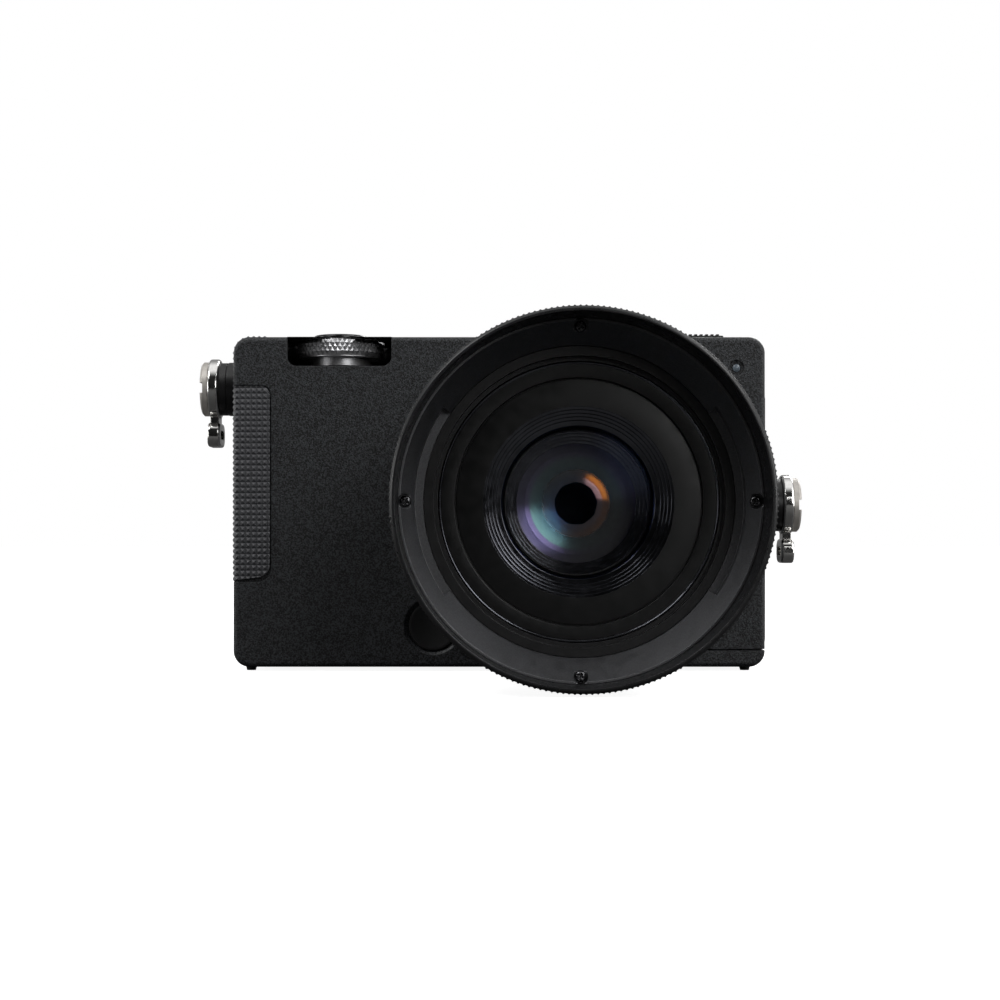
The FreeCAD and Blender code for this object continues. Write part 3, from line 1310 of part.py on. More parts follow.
def af_switch():
    y0 = SWITCH_Y[0] + CLEAR
    low, top = BARREL_R - SWITCH_DEPTH + 0.1, BARREL_R + SWITCH_PROUD
    z = (AXIS_Z - SWITCH_HALF_Z, AXIS_Z + SWITCH_HALF_Z)
    knob = rounded_x((y0, y0 + SWITCH_KNOB_L), z, 0.6, low, top)
    grooves = []
    for i in range(3):
        start = y0 + 0.7 + 0.9 * i
        grooves.append(box((top - 0.3, top + 0.3), (start, start + 0.4), (z[0] + 0.7, z[1] - 0.7)))
    return cut_all(knob, grooves)


def grip_ring(section, teeth):
    """Turning ring: plain edges and a band of straight knurling between them."""
    y0, y1 = ring_plan()[section]
    bore = SLEEVE_R + RING_CLEAR
    edge = 1.0
    band = toothed(GRIP_RING_R, GRIP_RING_TOOTH, teeth, bore, y0 + edge, y1 - edge)
    plain = GRIP_RING_R - GRIP_RING_TOOTH - 0.1
    back = tube_y(plain, bore, y1 - edge, y1)
    front = tube_y(plain, bore, y0, y0 + edge)
    return band.multiFuse([back, front])


def front_barrel():
    """Nose of the lens: filter thread inside, hood lugs outside."""
    y0, y1 = ring_plan()["front"]
    nose = turned(
        [
            (SLEEVE_BORE_R + 0.3, y1),
            (FRONT_BARREL_BACK_R, y1),
            (FRONT_BARREL_BACK_R, y1 - FRONT_BARREL_BACK_L),
            (FRONT_BARREL_R, y1 - FRONT_BARREL_BACK_L),
            (FRONT_BARREL_R, y0),
            (FILTER_R, y0),
            (FILTER_R, y0 + FILTER_L),
            (SLEEVE_BORE_R + 0.3, y0 + FILTER_L),
        ]
    )
    lugs = []
    for middle in (90.0, 270.0):
        lugs.append(sector(FRONT_BARREL_R - 0.3, HOOD_LUG_OUT_R, *HOOD_LUG_Y, middle, HOOD_LUG_HALF_ANGLE))
    return fuse(nose, *lugs)


def front_ring():
    """Plates and stepped baffle that hold the front glass."""
    y = PLATE_Y
    back = y + PLATE_SKIRT_L
    points = [(PLATE_OUT_R, back), (PLATE_OUT_R, y), (PLATE_STEP_R, y), (PLATE_STEP_R, y + PLATE_STEP)]
    r, depth = PLATE_IN_R, y + PLATE_STEP
    points.append((r, depth))
    for _ in range(BAFFLE_STEPS):
        points.append((r, depth + BAFFLE_AXIAL))
        r -= BAFFLE_RADIAL
        depth += BAFFLE_AXIAL
        points.append((r, depth))
    stop = depth + STOP_DEPTH
    seat = glass_seat_y()
    inner = PLATE_OUT_R - PLATE_SKIRT_T
    points += [(r, stop), (GLASS_STOP_R, stop), (GLASS_STOP_R, seat), (inner, seat), (inner, back)]
    return turned(points)


def glass_seat_y():
    """Back face of the front ring's stop, where the front glass begins."""
    return PLATE_Y + PLATE_STEP + BAFFLE_STEPS * BAFFLE_AXIAL + STOP_DEPTH + STOP_T


def front_element():
    """Front glass: a crowned disc whose crown stands inside the stop."""
    y = glass_seat_y()
    crown = FRONT_GLASS_CROWN
    r = GLASS_STOP_R - 0.15
    ball_r = (r * r + crown * crown) / (2 * crown)
    ball = Part.makeSphere(ball_r, V(0, y - crown + ball_r, AXIS_Z))
    cap = ball.common(cyl_y(r, y - crown - 1.0, y))
    return fuse(cyl_y(FRONT_GLASS_R, y, y + FRONT_GLASS_EDGE), cap)


def rear_glass_y():
    """Front and back of the rear glass."""
    back = REAR_CELL_BACK_Y - REAR_CELL_LIP
    return back - REAR_GLASS_L, back


def rear_element():
    y0, y1 = rear_glass_y()
    disc = cyl_y(REAR_GLASS_R, y0, y1)
    hollow = Part.makeSphere(30.0, V(0, y0 - 28.6, AXIS_Z))
    return disc.cut(hollow)


def iris_plate():
    """Inner cell: seats both glasses, and carries the blades' pivot pins in a round pocket."""
    front = glass_seat_y()
    seat = front + FRONT_GLASS_EDGE
    stack = IRIS_FRONT_GAP + BLADE_PITCH * BLADE_COUNT + 0.1
    pocket_front = IRIS_Y - stack
    skirt_r = PLATE_OUT_R - PLATE_SKIRT_T - 0.2
    skirt_y = PLATE_Y + PLATE_SKIRT_L + 0.2
    cell = turned(
        [
            (FRONT_GLASS_R + 0.1, front),
            (skirt_r, front),
            (skirt_r, skirt_y),
            (SLEEVE_BORE_R - 0.05, skirt_y),
            (SLEEVE_BORE_R - 0.05, IRIS_Y + 1.4),
            (REAR_GLASS_R + REAR_CELL_WALL, IRIS_Y + 1.4),
            (REAR_GLASS_R + REAR_CELL_WALL, REAR_CELL_BACK_Y),
            (REAR_GLASS_R - REAR_CELL_LIP, REAR_CELL_BACK_Y),
            (REAR_GLASS_R - REAR_CELL_LIP, rear_glass_y()[1]),
            (REAR_GLASS_R + 0.05, rear_glass_y()[1]),
            (REAR_GLASS_R + 0.05, rear_glass_y()[0]),
            (IRIS_OPEN_R, rear_glass_y()[0]),
            (IRIS_OPEN_R, IRIS_Y),
            (IRIS_POCKET_R, IRIS_Y),
            (IRIS_POCKET_R, pocket_front),
            *stepped_bore(pocket_front, seat),
            (FRONT_GLASS_R + 0.1, seat),
        ]
    )
    pins = []
    for i in range(BLADE_COUNT):
        x, z = pivot_place(i)
        top = blade_y(i) - 0.02
        pins.append(cyl_y(BLADE_PIN_R, top, IRIS_Y + 0.5, x, z))
    return fuse(cell, *pins)


def stepped_bore(back, front):
    """(radius, y) points of the light baffle between the iris and the front glass."""
    points = []
    y = back
    for r, length in IRIS_STEPS:
        points.append((r, y))
        y = y - length if length else front
        points.append((r, y))
    return points


def pivot_place(i):
    a = math.radians(pivot_angle(i))
    return BLADE_PIVOT_R * math.cos(a), AXIS_Z + BLADE_PIVOT_R * math.sin(a)


def pivot_angle(i):
    """Blade i's pivot, in degrees from +X towards +Z."""
    return IRIS_FIRST_ANGLE + 360.0 / BLADE_COUNT * i


def blade_y(i):
    """Front face of blade i; the blades lie one on the other."""
    return IRIS_Y - 0.05 - BLADE_PITCH * (i + 1) + (BLADE_PITCH - BLADE_T)


def iris_blade(i):
    """Crescent blade, drawn fully open about the lens axis and then turned in about its pivot."""
    a = pivot_angle(i)
    y = blade_y(i)

    def point(u, v):
        return V(u, y, AXIS_Z + v)

    start, stop = a - 2.0, a + BLADE_SPAN

    def at(r, angle):
        return point(r * math.cos(math.radians(angle)), r * math.sin(math.radians(angle)))

    tip_r = (BLADE_IN_R + BLADE_OUT_R) / 2
    wire = Part.Wire(
        [
            arc_through((0, 0), BLADE_OUT_R, start, stop, point),
            Part.Arc(at(BLADE_OUT_R, stop), at(tip_r, stop + 12.0), at(BLADE_IN_R, stop)).toShape(),
            arc_through((0, 0), BLADE_IN_R, stop, start, point),
            Part.makeLine(at(BLADE_IN_R, start), at(BLADE_OUT_R, start)),
        ]
    )
    x, z = pivot_place(i)
    leaf = Part.Face(wire).extrude(V(0, BLADE_T, 0))
    ear = cyl_y(BLADE_EAR_R, y, y + BLADE_T, x, z)
    blade = fuse(leaf, ear).cut(cyl_y(BLADE_HOLE_R, y - 1.0, y + 1.0, x, z))
    blade.rotate(V(x, y, z), V(0, -1, 0), BLADE_CLOSED_BY)
    return blade


# Hood


def hood_tube():
    """Outer shell: thin lip, fine knurled band, plain band, and a flange for the liner's screws."""
    knurl_front = HOOD_FRONT_Y + HOOD_LIP_L
    knurl_back = knurl_front + HOOD_KNURL_L
    band = toothed(HOOD_KNURL_R, HOOD_KNURL_TOOTH, HOOD_TEETH, HOOD_IN_R, knurl_front, knurl_back)
    lip = turned(
        [
            (HOOD_LIP_R, HOOD_FRONT_Y),
            (HOOD_KNURL_R - 0.45, HOOD_FRONT_Y),
            (HOOD_KNURL_R - HOOD_KNURL_TOOTH - 0.02, knurl_front),
            (HOOD_IN_R, knurl_front),
        ]
    )
    plain = turned(
        [
            (HOOD_IN_R, knurl_back),
            (HOOD_PLAIN_R - 0.25, knurl_back),
            (HOOD_PLAIN_R - 0.25, knurl_back + 0.5),
            (HOOD_PLAIN_R, knurl_back + 0.8),
            (HOOD_PLAIN_R, HOOD_BACK_Y - 2.2),
            (HOOD_PLAIN_R - 1.4, HOOD_BACK_Y),
            (HOOD_SLEEVE_R + 0.1, HOOD_BACK_Y),
            (HOOD_SLEEVE_R + 0.1, HOOD_BACK_Y - HOOD_FLANGE_T),
            (HOOD_IN_R, HOOD_BACK_Y - HOOD_FLANGE_T),
        ]
    )
    tube = band.multiFuse([lip, plain])
    r = HOOD_SCREW_R + 0.05
    holes = [cyl_y(r, HOOD_BACK_Y - 5.0, HOOD_BACK_Y + 1.0, x, z) for x, z in hood_screw_places()]
    return cut_all(tube, holes)


def hood_screw_places():
    """Four screws, at top, bottom, left and right."""
    places = []
    for i in range(4):
        a = math.radians(90.0 * i)
        places.append((HOOD_SCREW_PCR * math.cos(a), AXIS_Z + HOOD_SCREW_PCR * math.sin(a)))
    return places


def hood_base():
    """Liner: funnel-shaped front face, bayonet sleeve and the cut-aways at its inner edge."""
    back = HOOD_BACK_Y - HOOD_FLANGE_T
    liner = turned(
        [
            (HOOD_IN_R - 0.08, CONE_FRONT_Y),
            (HOOD_IN_R - 0.08, back),
            (HOOD_SLEEVE_R, back),
            (HOOD_SLEEVE_R, HOOD_SLEEVE_BACK_Y),
            (CONE_IN_R, HOOD_SLEEVE_BACK_Y),
            (CONE_IN_R, HOOD_GROOVE_Y[1]),
            (HOOD_LUG_GROOVE_R, HOOD_GROOVE_Y[1]),
            (HOOD_LUG_GROOVE_R, HOOD_GROOVE_Y[0]),
            (CONE_IN_R, HOOD_GROOVE_Y[0]),
            (CONE_IN_R, CONE_BACK_Y),
            (HOOD_IN_R - 0.5, CONE_FRONT_Y),
        ]
    )
    cuts = []
    for x, z in hood_screw_places():
        cuts.append(cyl_y(HOOD_SCREW_RECESS_R, CONE_FRONT_Y - 2.0, HOOD_SCREW_FLOOR_Y, x, z))
        cuts.append(cyl_y(HOOD_SCREW_R + SEAM, CONE_FRONT_Y - 2.0, back + 1.0, x, z))
    y = (CONE_FRONT_Y - 1.0, HOOD_GROOVE_Y[0] - 0.8)
    for middle in (0.0, 180.0):
        cuts.append(sector(CONE_IN_R - 1.0, HOOD_CUT_OUT_R, *y, middle, HOOD_CUT_HALF_ANGLE))
    return cut_all(liner, cuts)


def hood_screws():
    screws = []
    for x, z in hood_screw_places():
        y = HOOD_SCREW_FLOOR_Y
        top = y - HOOD_SCREW_HEAD_H
        head = cyl_y(HOOD_SCREW_HEAD_R, top, y, x, z)
        head = head.makeFillet(0.25, edges_on_y(head, top))
        length, width, depth = HOOD_SCREW_CROSS
        for spin in (45, 135):
            bar = box((-length / 2, length / 2), (top - 1.0, top + depth), (-width / 2, width / 2))
            bar.rotate(V(0, 0, 0), V(0, 1, 0), spin)
            bar.translate(V(x, 0, z))
            head = head.cut(bar)
        screws.append(fuse(head, cyl_y(HOOD_SCREW_R, y, HOOD_BACK_Y - 0.2, x, z)))
    return Part.makeCompound(screws)


def build():
    nodes = {
        "front_cover": front_cover(),
        "rear_cover": rear_cover(),
        "heat_sink": heat_sink(),
        "grip_rubbers": grip_rubbers(),
        "corner_cover": corner_cover(),
        "mount_ring": mount_ring(),
        "body_screws": body_screws(),
        "sensor_unit": sensor_unit(),
        "main_board": main_board(),
        "battery": battery(),
        "port_block": port_block(),
        "thread_inserts": thread_inserts(),
        "strap_screws": Part.makeCompound([strap_screw(-1), strap_screw(1)]),
        "strap_eyelet_left": strap_eyelet(-1),
        "strap_eyelet_right": strap_eyelet(1),
        "feet": feet(),
        "af_lamp": af_lamp(),
        "lcd_glass": lcd_glass(),
        "front_dial": front_dial(),
        "shutter_button": shutter_button(),
        "rec_button": rec_button(),
        "power_switch": power_switch(),
        "cine_switch": cine_switch(),
        "release_button": release_button(),
        "lock_pin": lock_pin(),
        "battery_door": battery_door(),
        "battery_latch": battery_latch(),
        "port_cover_upper": port_cover(PORT_UPPER_Z),
        "port_cover_lower": port_cover(PORT_LOWER_Z),
        "rear_dial": rear_dial(),
        "ok_button": ok_button(),
        "lens_mount": lens_mount(),
        "lens_barrel": lens_barrel(),
        "aperture_ring": grip_ring("aperture", APERTURE_TEETH),
        "focus_ring": grip_ring("focus", FOCUS_TEETH),
        "front_barrel": front_barrel(),
        "front_ring": front_ring(),
        "front_element": front_element(),
        "rear_element": rear_element(),
        "af_switch": af_switch(),
        "iris_plate": iris_plate(),
        "hood_tube": hood_tube(),
        "hood_base": hood_base(),
        "hood_screws": hood_screws(),
    }
    for name in ROUND_BUTTONS:
        nodes[name] = round_button(name)
    for name in BAR_BUTTONS:
        nodes[name] = bottom_row_button(name)
    for i in range(BLADE_COUNT):
        nodes[f"iris_blade_{i + 1}"] = iris_blade(i)
    return nodes


def main():
    os.makedirs("parts", exist_ok=True)
    for name, shape in build().items():
        volume = sum(s.Volume for s in shape.Solids)
        print(f"{name}: {len(shape.Solids)} solids, {volume:.1f} mm3, valid {shape.isValid()}")
        shape.exportStep(f"parts/{name}.step")


main()
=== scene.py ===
import bpy
import bmesh
import json
import math
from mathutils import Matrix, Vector


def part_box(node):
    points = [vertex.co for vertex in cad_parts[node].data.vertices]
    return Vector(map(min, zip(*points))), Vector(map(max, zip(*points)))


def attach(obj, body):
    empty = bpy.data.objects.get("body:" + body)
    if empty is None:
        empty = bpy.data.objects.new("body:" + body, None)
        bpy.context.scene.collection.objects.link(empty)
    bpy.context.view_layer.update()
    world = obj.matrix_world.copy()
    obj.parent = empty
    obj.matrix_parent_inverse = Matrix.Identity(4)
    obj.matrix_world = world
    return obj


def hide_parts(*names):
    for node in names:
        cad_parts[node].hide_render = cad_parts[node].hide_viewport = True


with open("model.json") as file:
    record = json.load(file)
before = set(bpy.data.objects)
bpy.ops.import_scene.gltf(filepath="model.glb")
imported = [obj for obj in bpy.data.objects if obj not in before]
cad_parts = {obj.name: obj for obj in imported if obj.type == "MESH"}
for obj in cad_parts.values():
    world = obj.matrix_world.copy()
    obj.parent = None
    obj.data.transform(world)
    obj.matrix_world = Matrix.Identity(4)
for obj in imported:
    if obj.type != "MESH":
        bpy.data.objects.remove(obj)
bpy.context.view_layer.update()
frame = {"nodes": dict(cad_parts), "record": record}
nodes = frame["nodes"]

# Sizes in millimetres, as in the CAD; meshes are scaled to metres when they are made
MM = 0.001
TAU = 2.0 * math.pi
AXIS_Z = 34.0
BODY_LEFT = -71.2
BODY_TOP = 69.9
FRONT_Y = -17.0
BACK_Y = 22.3
CORNER_R = 3.4
SHARP_ANGLE = 32.0
ROUND_STEPS = 3

# Grip rubber: a sheet of square pyramids
PYRAMID_PITCH = 1.17
PYRAMID_RISE = 0.52
PYRAMID_TOP = 0.06
SHEET_BASE = 0.02
SIDE_SHARE = 0.4
TOP_SHARE = 0.8
SHEET_SINK = 0.5
EDGE_R = 1.0
STRIP_W = 8.0
STRIP_BOTTOM = 18.0
STRIP_TOP = 59.6
STRIP_SLOPE = 1.0
STRIP_TOP_R = 1.8
STRIP_GAP = 0.22
STRIP_BOTTOM_R = 2.8
SIDE_FRONT_Y = -14.8
SIDE_BACK_Y = 4.0
CORNER_TOP_W = 7.0
CORNER_STEPS = 6
GRID_START_U = -PYRAMID_PITCH * 0.45
GRID_START_Z = STRIP_BOTTOM - PYRAMID_PITCH * 0.9
COLLAR_Y = -5.5
COLLAR_CLEAR_R = 4.6
THUMB_X = (-68.2, -45.0)
THUMB_Z = (50.0, 66.6)
THUMB_R = 2.5
THUMB_SINK = 0.35

# Front dial
DIAL_X = -49.2
DIAL_Y = -7.3
DIAL_R = 9.4
DIAL_TEETH = 52
DIAL_RISE = 0.34
DIAL_EDGE_SINK = 0.28
DIAL_LEVELS = {"foot": 64.05, "lip": 65.9, "band": 66.2, "top": 69.7}
DIAL_ROWS = 4
DIAL_LIP_R = 8.7
DIAL_FOOT_R = 6.5
DIAL_DISH_R = 8.2
DIAL_BORE_R = 6.1
DIAL_DISH_DEPTH = 1.35
WELL_X = DIAL_X + 0.5
WELL_R = 11.0
WELL_CORNER_R = 1.9
WELL_FLOOR_Z = 63.7
WELL_MOUTH_Y = FRONT_Y + 0.05
WELL_STEPS = 48
WELL_CORNER_STEPS = 6
LINER_T = 0.12
BEZEL_T = 0.5
BEZEL_R = DIAL_R + 0.35

# Hood
HOOD_FRONT_Y = -87.0
HOOD_BACK_Y = -68.6
HOOD_IN_R = 33.35
HOOD_KNURL_R = 34.4
HOOD_PLAIN_R = 34.0
HOOD_TOOTH = 0.32
HOOD_TEETH = 210
HOOD_KNURL_L = 9.2
HOOD_FLANGE_IN_R = 31.1
HOOD_FLANGE_T = 1.6
SCREW_CIRCLE_R = 32.0
SCREW_HEAD_R = 1.05
SCREW_TOP_Y = -73.3
SCREW_FLOOR_Y = -72.4
SCREW_DOME = 0.45
CROSS_W = 0.4
CROSS_L = 1.44
CROSS_DEPTH = 0.42
CROSS_WALL_W = 0.06
CROSS_END_L = 0.3
CROSS_TURN = TAU / 8.0 * 0.6

# Lens front
PLATE_Y = -66.0
PLATE_OUT_R = 26.2
PLATE_STEP_R = 23.1
PLATE_IN_R = 17.9
PLATE_STEP = 0.5
PLATE_BACK_Y = -60.0
SEAT_OUT_R = 22.3
BAFFLE_STEPS = 4
BAFFLE_RADIAL = 0.62
BAFFLE_AXIAL = 0.75
GLASS_STOP_R = 14.3
GLASS_SEAT_Y = -60.7
GLASS_CROWN = 1.9
GLASS_T = 0.4
GLASS_R = GLASS_STOP_R - 0.1
GLASS_RINGS = 14
CELL_R = 13.85
CELL_OUT_R = 14.2
CELL_STEPS = 4
CELL_RADIAL = 0.58
CELL_AXIAL = 1.7
IRIS_Y = -50.0
BLADES = 9
LEAF_Y = -50.7
LEAF_SHARE = 0.08
LEAF_OPENING = 0.55
LEAF_OPENING_R = 9.0


# Meshes


def rounded(corners):
    """Outline points in which every corner (a, b, radius) is a round stretch."""
    points = []
    for i, (a, b, radius) in enumerate(corners):
        here = Vector((a, b))
        before = Vector(corners[i - 1][:2]) - here
        after = Vector(corners[(i + 1) % len(corners)][:2]) - here
        if radius <= 0.0:
            points.append((a, b))
            continue
        start = here + before.normalized() * min(radius, before.length * 0.45)
        end = here + after.normalized() * min(radius, after.length * 0.45)
        for k in range(ROUND_STEPS + 1):
            t = k / ROUND_STEPS
            middle = start.lerp(here, t).lerp(here.lerp(end, t), t)
            points.append((middle.x, middle.y))
    return points


def add_mesh(name, points, faces, slot, body="camera", replaces=(), angle=45.0, coat=None):
    """A new visible piece from points in millimetres."""
    mesh = bpy.data.meshes.new(name)
    mesh.from_pydata([Vector(p) * MM for p in points], [], faces)
    mesh.validate()
    shape = bmesh.new()
    shape.from_mesh(mesh)
    bmesh.ops.remove_doubles(shape, verts=shape.verts, dist=1e-7)
    bmesh.ops.recalc_face_normals(shape, faces=shape.faces)
    shape.to_mesh(mesh)
    shape.free()
    mesh.shade_smooth()
    mesh.set_sharp_from_angle(angle=math.radians(angle))
    piece = bpy.data.objects.new(name, mesh)
    bpy.context.scene.collection.objects.link(piece)
    mesh.materials.append(paint[coat or slot])
    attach(piece, body)
    if replaces:
        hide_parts(*replaces)
    return piece


def lens_point(r, turn, y):
    return (r * math.cos(turn), y, AXIS_Z + r * math.sin(turn))


def dial_point(r, turn, z):
    return (DIAL_X + r * math.cos(turn), DIAL_Y + r * math.sin(turn), z)


def turned(profile, place=lens_point, segments=256, wave=None, closed=True):
    """Points and faces of a profile of (radius, along) turned about an axis.

    wave(k, turn) is added to the radius of profile point k.
    """
    points = []
    for i in range(segments):
        turn = TAU * i / segments
        for k, (r, along) in enumerate(profile):
            points.append(place(r + (wave(k, turn) if wave else 0.0), turn, along))
    faces = []
    count = len(profile)
    for i in range(segments):
        ahead = (i + 1) % segments
        for k in range(count if closed else count - 1):
            after = (k + 1) % count
            faces.append((i * count + k, i * count + after, ahead * count + after, ahead * count + k))
    return points, faces


# Grip rubber


def pyramid_grid(width, height, start=(0.0, 0.0)):
    """Flat sheet of pyramids from the origin to (width, height), as a bmesh with the rise in z."""
    sheet = bmesh.new()
    columns = math.ceil((width - start[0]) / PYRAMID_PITCH)
    rows = math.ceil((height - start[1]) / PYRAMID_PITCH)
    half = PYRAMID_PITCH / 2.0
    top = PYRAMID_PITCH * PYRAMID_TOP / 2.0
    around = [(-1, -1), (1, -1), (1, 1), (-1, 1)]
    for i in range(columns):
        for j in range(rows):
            u = start[0] + PYRAMID_PITCH * (i + 0.5)
            v = start[1] + PYRAMID_PITCH * (j + 0.5)
            low = [sheet.verts.new((u + half * a, v + half * b, SHEET_BASE)) for a, b in around]
            high = [sheet.verts.new((u + top * a, v + top * b, PYRAMID_RISE)) for a, b in around]
            sheet.faces.new(high)
            for k in range(4):
                sheet.faces.new((low[k], low[(k + 1) % 4], high[(k + 1) % 4], high[k]))
    bmesh.ops.remove_doubles(sheet, verts=sheet.verts, dist=0.001)
    return sheet


def trim(sheet, point, outward):
    """Cuts away what lies beyond the line through point across outward."""
    geometry = sheet.verts[:] + sheet.edges[:] + sheet.faces[:]
    co = (point[0], point[1], 0.0)
    no = (outward[0], outward[1], 0.0)
    bmesh.ops.bisect_plane(sheet, geom=geometry, plane_co=co, plane_no=no, clear_outer=True)


def trim_corner(sheet, corner, inward, radius):
    """Rounds a corner of the sheet; inward gives the signs from the corner to the sheet's middle."""
    middle = (corner[0] + inward[0] * radius, corner[1] + inward[1] * radius)
    for k in range(CORNER_STEPS):
        angle = math.radians(90.0 * (k + 0.5) / CORNER_STEPS)
        out = (-inward[0] * math.cos(angle), -inward[1] * math.sin(angle))
        trim(sheet, (middle[0] + out[0] * radius, middle[1] + out[1] * radius), out)


def finish_sheet(sheet, place):
    """Gives the sheet a rim that sinks below the surface and lays it on the body with place(u, v, rise)."""
    rim = [e for e in sheet.edges if e.is_boundary]
    made = bmesh.ops.extrude_edge_only(sheet, edges=rim)["geom"]
    for item in made:
        if isinstance(item, bmesh.types.BMVert):
            item.co.z = -SHEET_SINK
    points = [place(*v.co) for v in sheet.verts]
    sheet.verts.index_update()
    faces = [tuple(v.index for v in f.verts) for f in sheet.faces]
    sheet.free()
    return points, faces


def wrap_front(u, v, rise):
    """From the strip's right edge leftwards over the front, round the edge and back along the side."""
    flat = STRIP_W - EDGE_R
    bend = EDGE_R * math.pi / 2.0
    if u <= flat:
        return (BODY_LEFT + STRIP_W - u, FRONT_Y - rise, v)
    share = max(SIDE_SHARE, 1.0 - (u - flat) / bend) if rise > 0.0 else 1.0
    rise *= share
    if u <= flat + bend:
        turn = (u - flat) / EDGE_R
        r = EDGE_R + rise
        return (BODY_LEFT + EDGE_R - r * math.sin(turn), FRONT_Y + EDGE_R - r * math.cos(turn), v)
    return (BODY_LEFT - rise, FRONT_Y + EDGE_R + u - flat - bend, v)


def wrap_top(u, v, rise):
    """From the body's side upwards, round the top corner and inwards along the top; u runs to the back."""
    straight = BODY_TOP - CORNER_R
    bend = CORNER_R * math.pi / 2.0
    if rise > 0.0:
        rise *= TOP_SHARE
    if v <= straight:
        return (BODY_LEFT - rise, u, v)
    if v <= straight + bend:
        turn = (v - straight) / CORNER_R
        r = CORNER_R + rise
        return (BODY_LEFT + CORNER_R - r * math.cos(turn), u, straight + r * math.sin(turn))
    return (BODY_LEFT + CORNER_R + v - straight - bend, u, BODY_TOP + rise)


def lay_thumb(u, v, rise):
    return (u, BACK_Y - THUMB_SINK + rise, v)


def front_strip():
    around = STRIP_W - EDGE_R + EDGE_R * math.pi / 2.0
    width = around + SIDE_FRONT_Y - FRONT_Y - EDGE_R
    sheet = pyramid_grid(width, STRIP_TOP, (GRID_START_U, GRID_START_Z))
    trim(sheet, (STRIP_GAP, 0.0), (-1.0, 0.0))
    trim(sheet, (width, 0.0), (1.0, 0.0))
    trim(sheet, (0.0, STRIP_TOP - STRIP_GAP), (0.0, 1.0))
    trim(sheet, (width, STRIP_BOTTOM), (STRIP_SLOPE / STRIP_W, -1.0))
    trim_corner(sheet, (STRIP_GAP, STRIP_TOP - STRIP_GAP), (1.0, -1.0), STRIP_TOP_R)
    trim_corner(sheet, (STRIP_GAP, STRIP_BOTTOM + STRIP_SLOPE), (1.0, 1.0), STRIP_BOTTOM_R)
    return finish_sheet(sheet, wrap_front)


def side_sheet():
    straight = BODY_TOP - CORNER_R
    height = straight + CORNER_R * math.pi / 2.0 + CORNER_TOP_W - CORNER_R
    depth = SIDE_BACK_Y - SIDE_FRONT_Y
    sheet = pyramid_grid(depth, height, (0.0, GRID_START_Z))
    bmesh.ops.translate(sheet, verts=sheet.verts, vec=(SIDE_FRONT_Y, 0.0, 0.0))
    trim(sheet, (SIDE_BACK_Y, 0.0), (1.0, 0.0))
    trim(sheet, (0.0, height), (0.0, 1.0))
    trim(sheet, (0.0, STRIP_BOTTOM), (0.0, -1.0))
    trim_corner(sheet, (SIDE_BACK_Y, STRIP_BOTTOM), (-1.0, 1.0), STRIP_TOP_R)
    collar = (COLLAR_Y, STRIP_TOP)
    near = [f for f in sheet.faces if math.dist(f.calc_center_median()[:2], collar) < COLLAR_CLEAR_R]
    bmesh.ops.delete(sheet, geom=near, context="FACES")
    return finish_sheet(sheet, wrap_top)


def thumb_pad():
    sheet = pyramid_grid(THUMB_X[1] - THUMB_X[0], THUMB_Z[1] - THUMB_Z[0])
    bmesh.ops.translate(sheet, verts=sheet.verts, vec=(THUMB_X[0], THUMB_Z[0], 0.0))
    trim(sheet, (THUMB_X[1], 0.0), (1.0, 0.0))
    trim(sheet, (0.0, THUMB_Z[1]), (0.0, 1.0))
    for i, a in enumerate((1.0, -1.0)):
        for j, b in enumerate((1.0, -1.0)):
            trim_corner(sheet, (THUMB_X[i], THUMB_Z[j]), (a, b), THUMB_R)
    return finish_sheet(sheet, lay_thumb)


def grip_pyramids():
    points, faces = [], []
    for more_points, more_faces in (front_strip(), side_sheet(), thumb_pad()):
        shift = len(points)
        points += more_points
        faces += [tuple(k + shift for k in f) for f in more_faces]
    add_mesh("grip_pyramids", points, faces, "grip_rubber", replaces=("grip_rubbers",), angle=12.0)


# Front dial


def dial_wheel():
    """Band of diamond knurls over a thin lip and a glossy foot, with a dished top."""
    low, high = DIAL_LEVELS["band"], DIAL_LEVELS["top"]
    step = (high - low) / DIAL_ROWS
    band = [(DIAL_R - DIAL_RISE, low + step * j) for j in range(DIAL_ROWS + 1)]
    foot, lip = DIAL_LEVELS["foot"], DIAL_LEVELS["lip"]
    under = [
        (DIAL_BORE_R, foot + 1.0),
        (0.4, foot + 1.0),
        (0.4, foot),
        (DIAL_FOOT_R - 0.15, foot),
        (DIAL_FOOT_R, foot + 0.15),
        (DIAL_FOOT_R, lip),
        (DIAL_LIP_R - 0.08, lip),
        (DIAL_LIP_R, lip + 0.1),
        (DIAL_LIP_R, low),
        (DIAL_R - DIAL_RISE - 0.45, low),
    ]
    over = [
        (DIAL_R - DIAL_RISE - 0.4, high + 0.02),
        (DIAL_DISH_R + 0.15, high + 0.02),
        (DIAL_DISH_R - 0.1, high - 0.08),
        (DIAL_BORE_R, high - DIAL_DISH_DEPTH),
    ]
    profile = under + band + over
    first, last = len(under), len(under) + DIAL_ROWS
    segments = DIAL_TEETH * 2

    def diamond(k, turn):
        if not first < k < last:
            return -DIAL_EDGE_SINK if k in (first, last) else 0.0
        return DIAL_RISE if (k - first + round(turn / TAU * segments)) % 2 else 0.0

    points, quads = turned(profile, dial_point, segments, diamond)
    faces = []
    count = len(profile)
    for a, b, c, d in quads:
        k, i = a % count, a // count
        if not first <= k < last:
            faces.append((a, b, c, d))
        elif (k - first + i) % 2:
            faces += [(a, b, d), (b, c, d)]
        else:
            faces += [(a, b, c), (a, c, d)]
    add_mesh(
        "dial_wheel",
        points,
        faces,
        "control_metal",
        body="front_dial",
        replaces=("front_dial",),
        angle=24.0,
        coat="knurl_metal",
    )


